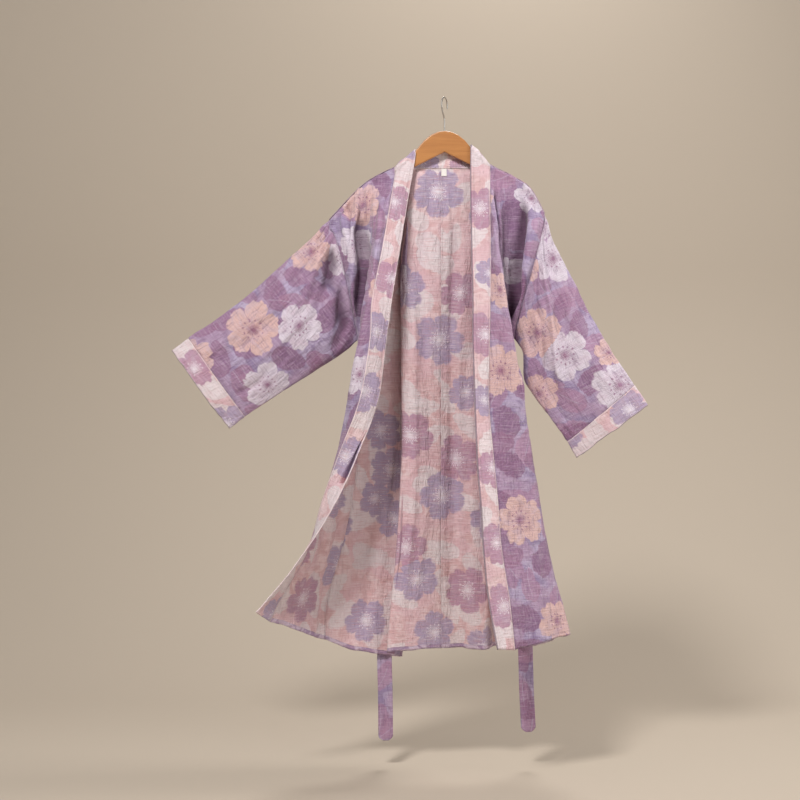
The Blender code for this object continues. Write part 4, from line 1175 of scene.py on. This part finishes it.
def body(outside, inside):
    """The fronts and the backs."""
    front_left = Panel((LEFT_SEAM, LEFT_RIDGE, LEFT_TROUGH, LEFT_TURN, LEFT_SIDE), -1)
    front_right = Panel((RIGHT_SEAM, RIGHT_LIP, RIGHT_TROUGH, RIGHT_TIP, RIGHT_SIDE), -1)
    back_left = Back((BACK_CENTRE, BACK_LIP, BACK_ROOT, BACK_HOLLOW, back_edge(LEFT_SIDE)), front_left)
    back_right = Back(
        (BACK_CENTRE, BACK_SWELL, BACK_RIGHT_LIP, BACK_RIGHT_ROOT, BACK_RIGHT_HOLLOW,
         back_edge(RIGHT_SIDE)), front_right,
    )
    t = even_steps(lambda t: front_left.at(t, [MEASURED_LINE])[:, 0], TOP, HEM, FINENESS)
    panels = {
        "front_left": (front_left, 1), "front_right": (front_right, -1),
        "back_left": (back_left, -1), "back_right": (back_right, 1),
    }
    for name, (panel, out) in panels.items():
        s = even_steps(lambda s: panel.at([MEASURED_HEIGHT], s)[0], 0, panel.last, FINENESS)
        piece = ClothPiece(name, panel.at(t, s), out, t, s, (0, 0, -1), len(s) // 2)
        finish_piece(piece, CLOTH_WALL, (outside, inside),
                     ("first", "last", "top"), ("bottom",), name.startswith("back"), side=panel.side)
    return front_left, front_right, back_left, back_right, t


def ring(row, j):
    """One sleeve section: from the underside up the front, over the top and down the back."""
    top_x, top_z, under_x, under_z, bulge = row
    front = j <= RING_HALF
    q = np.interp(np.abs(j - RING_HALF), np.arange(RING_HALF + 1), RING_STEPS)
    out = bulge * np.sin(np.pi * np.clip(q, 0, 1)) ** RING_FULLNESS * np.where(front, -1, 1)
    return np.stack([top_x + (under_x - top_x) * q, out, top_z + (under_z - top_z) * q], -1)


def sleeve_points(front, back, rows, j, i):
    """Rings of a sleeve from the armhole to the cuff's seam."""
    t = np.interp(np.abs(j - RING_HALF), np.arange(RING_HALF + 1), ARM_ROWS)
    on_front, on_back = front.at(t, [front.last])[:, 0], back.at(t, [back.last])[:, 0]
    armhole = np.where((j <= RING_HALF)[:, None], on_front, on_back)
    rings = np.array([armhole] + [ring(row, j) for row in rows])
    return spline(rings, i)


def sleeves(front_left, front_right, back_left, back_right, outside, inside, band):
    """Both sleeves and their turned cuffs."""
    sides = {
        "left": (front_left, back_left, LEFT_RINGS, LEFT_CUFF_EDGE, 1),
        "right": (front_right, back_right, RIGHT_RINGS, RIGHT_CUFF_EDGE, -1),
    }
    for side, (front, back, rows, edge, out) in sides.items():
        j = even_steps(lambda j: ring(rows[0], j), 0, 2 * RING_HALF, FINENESS)[:-1]
        i = even_steps(lambda i: sleeve_points(front, back, rows, np.array([RING_HALF]), i)[:, 0],
                       0, len(rows), FINENESS)
        points = sleeve_points(front, back, rows, j, i)
        top = int(np.argmin(np.abs(j - RING_HALF)))
        along = unit(points[-1, top] - points[0, top])
        piece = ClothPiece("sleeve_" + side, points, out, i, j, along, top, True)
        finish_piece(piece, CLOTH_WALL, (outside, inside),
                     ("top", "bottom"))
        seam, end = points[-1], ring(edge, j)
        f = np.linspace(0, 1, CUFF_ROWS)
        turned = seam + (end - seam) * f[:, None, None]
        piece = ClothPiece("cuff_" + side, turned, out, f, j, along, top, True)
        # Painted shade along the far end of the turned cuff
        painted_edge_shade = PAINTED_SHADE_FULL * smooth(piece.from_top[-1:] - piece.from_top, *CUFF_END_PAINTED_SHADE)
        finish_piece(piece, CUFF_WALL, (band, band),
                     ("top",), ("bottom",), painted_edge_shade=painted_edge_shade)


def band_points(front_left, front_right, back_left, back_right, t, across):
    """The collar band: up the left front, round the neck and down the right front."""
    n = np.linspace(0, NECK_SPANS, NECK_STEPS)[1:-1]
    on_left = n <= LEFT_SPANS
    left_s = 2 - n[on_left] / 3
    right = n[~on_left] - LEFT_SPANS
    right_s = np.where(right <= SWELL_SPANS, right / 2, 2 + (right - SWELL_SPANS) / 3)
    neck = np.concatenate([back_left.at([0.0], left_s)[0], back_right.at([0.0], right_s)[0]])
    left_seam, right_seam = front_left.at(t, [0.0])[:, 0], front_right.at(t, [0.0])[:, 0]
    seam = np.concatenate([left_seam[::-1], neck, right_seam])
    left_free, right_free = spline(hung(LEFT_FREE, -1), t), spline(hung(RIGHT_FREE, -1), t)
    neck_free = beside_board(spline(NECK_FREE, n / NECK_SPANS * (len(NECK_FREE) - 1)), 1, BAND_WALL)
    free = np.concatenate([left_free[::-1], neck_free, right_free])
    points = seam[:, None] + (free - seam)[:, None] * across[None, :, None]
    first, last = len(t), len(t) + len(neck)
    for rows, side in ((slice(0, first - 1), -1), (slice(first, last), 1), (slice(last + 1, None), -1)):
        points[rows, 1:] = beside_board(points[rows, 1:], side, BAND_WALL)
    return points


def gap_behind_edge(piece, t):
    """How far the left band is pressed in beside its free edge."""
    height = np.concatenate([t[::-1], np.full(len(piece.points) - len(t), -1.0)])[:, None]
    share = np.clip((height - GAP_STARTS) / (GAP_ENDS - GAP_STARTS), 0, 1) * (height < GAP_ENDS)
    from_free = piece.from_sides[:, -1:] - piece.from_sides
    width = np.maximum(GAP_WIDTH * share, GAP_LEAST)
    place = (from_free - GAP_EDGE) / width
    pressed = smooth(place, *GAP_FALLS) * (1 - smooth(place, *GAP_RISES))
    return -GAP_DEPTH * np.sqrt(share) * pressed


def collar_band(fronts_and_backs, t, band):
    """The collar band with its gap, and painted shade along the free edge of its right half."""
    across = np.concatenate([np.linspace(*columns) for columns in BAND_COLUMNS])
    points = band_points(*fronts_and_backs, t, across)
    middle = len(across) // 2
    along = unit(np.gradient(points[:, middle], axis=0))
    piece = ClothPiece("collar_band", points, 1, np.arange(len(points)), across, along, middle)
    on_right = (np.arange(len(points)) > len(points) - len(t))[:, None]
    from_free = piece.from_sides[:, -1:] - piece.from_sides
    # Painted shade along the free edge of the band's right half
    painted_edge_shade = PAINTED_SHADE_FULL * smooth(from_free, *BAND_EDGE_PAINTED_SHADE) * on_right
    finish_piece(piece, BAND_WALL, (band, band), ("first",), ("last",),
                 dent=gap_behind_edge(piece, t), painted_edge_shade=painted_edge_shade)


def on_node(node, route, width, columns):
    """A strip along x, z places, at the depth where the solid of the same name lies."""
    vertices = np.array([v.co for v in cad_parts[node].data.vertices]) / MM
    depth = []
    for x, z in route:
        miss = np.hypot(vertices[:, 0] - x, vertices[:, 2] - z)
        depth.append(vertices[np.argsort(miss)[:NEAREST_VERTICES], 1].mean())
    kernel = np.ones(EVENED_STEPS) / EVENED_STEPS
    depth = np.convolve(np.pad(depth, EVENED_STEPS // 2, mode="edge"), kernel, "valid")
    path = np.stack([route[:, 0], depth, route[:, 1]], -1)
    side = unit(np.cross(np.gradient(path, axis=0), (0, 1, 0)))
    return path[:, None] + side[:, None] * np.linspace(-width / 2, width / 2, columns)[None, :, None]


def strip_piece(name, route, width, columns, wall, cloth, round_end=0):
    """A narrow strip of cloth that lies where its solid does."""
    points = on_node(name, route, width, columns)
    if round_end:
        run = lengths(points[:, columns // 2], 0)
        from_end = np.minimum(run, run[-1] - run)
        narrow = np.sqrt(np.clip(1 - (1 - np.minimum(from_end / round_end, 1)) ** 2, NARROWEST_END, 1))
        middle = points[:, columns // 2:columns // 2 + 1]
        points = middle + (points - middle) * narrow[:, None, None]
    along = unit(np.gradient(points[:, columns // 2], axis=0))
    piece = ClothPiece(name, points, 1, np.arange(len(points)), np.arange(columns), along, columns // 2)
    finish_piece(piece, wall, (cloth, cloth))


def belt_and_loops(cloth):
    """The belt behind the robe and its two loops."""
    route = np.array(BELT_ROUTE, float)
    steps = even_steps(lambda k: spline(route, k), 0, len(route) - 1, FINENESS)
    strip_piece("belt", spline(route, steps), BELT_WIDTH, BELT_COLUMNS, BELT_WALL, cloth,
                BELT_END)
    for side, (x, z) in LOOPS_AT.items():
        heights = z + np.linspace(LOOP_HEIGHT / 2, -LOOP_HEIGHT / 2, LOOP_ROWS)
        route = np.stack([np.full(LOOP_ROWS, x), heights], -1)
        strip_piece("belt_loop_" + side, route, LOOP_WIDTH, LOOP_COLUMNS, CLOTH_WALL, cloth)


def hanger_finishes():
    """The board, the hook and the label keep their solids' shape and get their finishes."""
    finishes = {"hanger_bar": wood_finish(), "hanger_hook": wire_finish(), "neck_label": tape_finish()}
    for node, material in finishes.items():
        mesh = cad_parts[node].data
        mesh.materials.clear()
        mesh.materials.append(material)


# Studio, in metres: the camera, the floor that sweeps up behind the robe, and the light of the room
CAMERA_AT = (-0.106, -4.0, -0.719)
LENS, SENSOR = 75.6, 36
FLOOR, FLOOR_STARTS, HALF_WIDTH = -1.62, -4.0, 6
SWEEP_START, SWEEP_RADIUS, SWEEP_STEPS = 1.0, 1.4, 25
SWEEP_TOP = 5.0
FLOOR_TONE = (190, 178, 162)
ROOM_COLOUR, ROOM_STRENGTH = (0.86, 0.84, 0.83, 1), 0.22

# Lamps: place, size, watts and colour, and what they are turned to
LAMPS = {
    "key": ((-1.15, -2.9, 2.0), 0.8, 134, (1.0, 0.975, 0.965)),
    "fill": ((2.3, -2.6, -0.3), 2.0, 30, (0.98, 0.97, 1.0)),
    "rim": ((2.3, 0.1, 0.6), 0.8, 30, (1.0, 0.97, 0.95)),
    "back": ((0.4, 1.85, 2.0), 1.2, 38, (1.0, 0.98, 0.97)),
}
LAMPS_AIM = (-0.05, 0, -0.7)


def backdrop():
    """A pale floor that sweeps up behind the robe, clear when seen from behind."""
    bend = np.radians(np.linspace(0, 90, SWEEP_STEPS))
    depth = SWEEP_START + SWEEP_RADIUS * np.sin(bend)
    depth = np.concatenate([[FLOOR_STARTS], depth, depth[-1:]])
    height = np.concatenate([[0], SWEEP_RADIUS * (1 - np.cos(bend)), [SWEEP_TOP]]) + FLOOR
    bm = bmesh.new()
    sides = [[bm.verts.new((x, y, z)) for y, z in zip(depth, height)] for x in (-HALF_WIDTH, HALF_WIDTH)]
    for k in range(len(depth) - 1):
        bm.faces.new((sides[0][k], sides[1][k], sides[1][k + 1], sides[0][k + 1]))
    mesh = bpy.data.meshes.new("floor")
    bm.to_mesh(mesh)
    bm.free()
    mesh.shade_smooth()
    floor = placed("floor", mesh)
    plain = Finish("pale floor")
    seen_from_behind = plain.node("ShaderNodeNewGeometry", {}, (), 6)
    plain.shine(Base_Color=tone(*FLOOR_TONE), Roughness=0.95, Alpha=1 - seen_from_behind)
    mesh.materials.append(plain.material)


def studio():
    """Camera, backdrop and soft lamps, the strongest in front at the upper left."""
    camera = placed("camera", bpy.data.cameras.new("camera"))
    camera.location = CAMERA_AT
    camera.rotation_euler = (math.radians(90), 0, 0)
    camera.data.lens, camera.data.sensor_width = LENS, SENSOR
    bpy.context.scene.camera = camera
    backdrop()
    world = bpy.data.worlds.new("pale room")
    bpy.context.scene.world = world
    world.use_nodes = True
    room = world.node_tree.nodes["Background"].inputs
    room["Color"].default_value, room["Strength"].default_value = ROOM_COLOUR, ROOM_STRENGTH
    for name, (place, size, power, colour) in LAMPS.items():
        light = bpy.data.lights.new(name, "AREA")
        light.shape, light.size, light.energy, light.color = "DISK", size, power, colour
        lamp = placed(name, light)
        lamp.location = place
        aim = Vector(LAMPS_AIM) - Vector(place)
        lamp.rotation_euler = aim.to_track_quat("-Z", "Y").to_euler()
    bpy.context.scene.view_settings.view_transform = "Standard"


def main():
    """The robe on its hanger, then the studio round it."""
    outside = cloth_finish("robe cloth outside", OUTER)
    inside = cloth_finish("robe cloth inside", INNER)
    band = cloth_finish("band cloth", BAND)
    *panels, t = body(outside, inside)
    sleeves(*panels, outside, inside, band)
    collar_band(panels, t, band)
    belt_and_loops(outside)
    hanger_finishes()
    studio()


main()
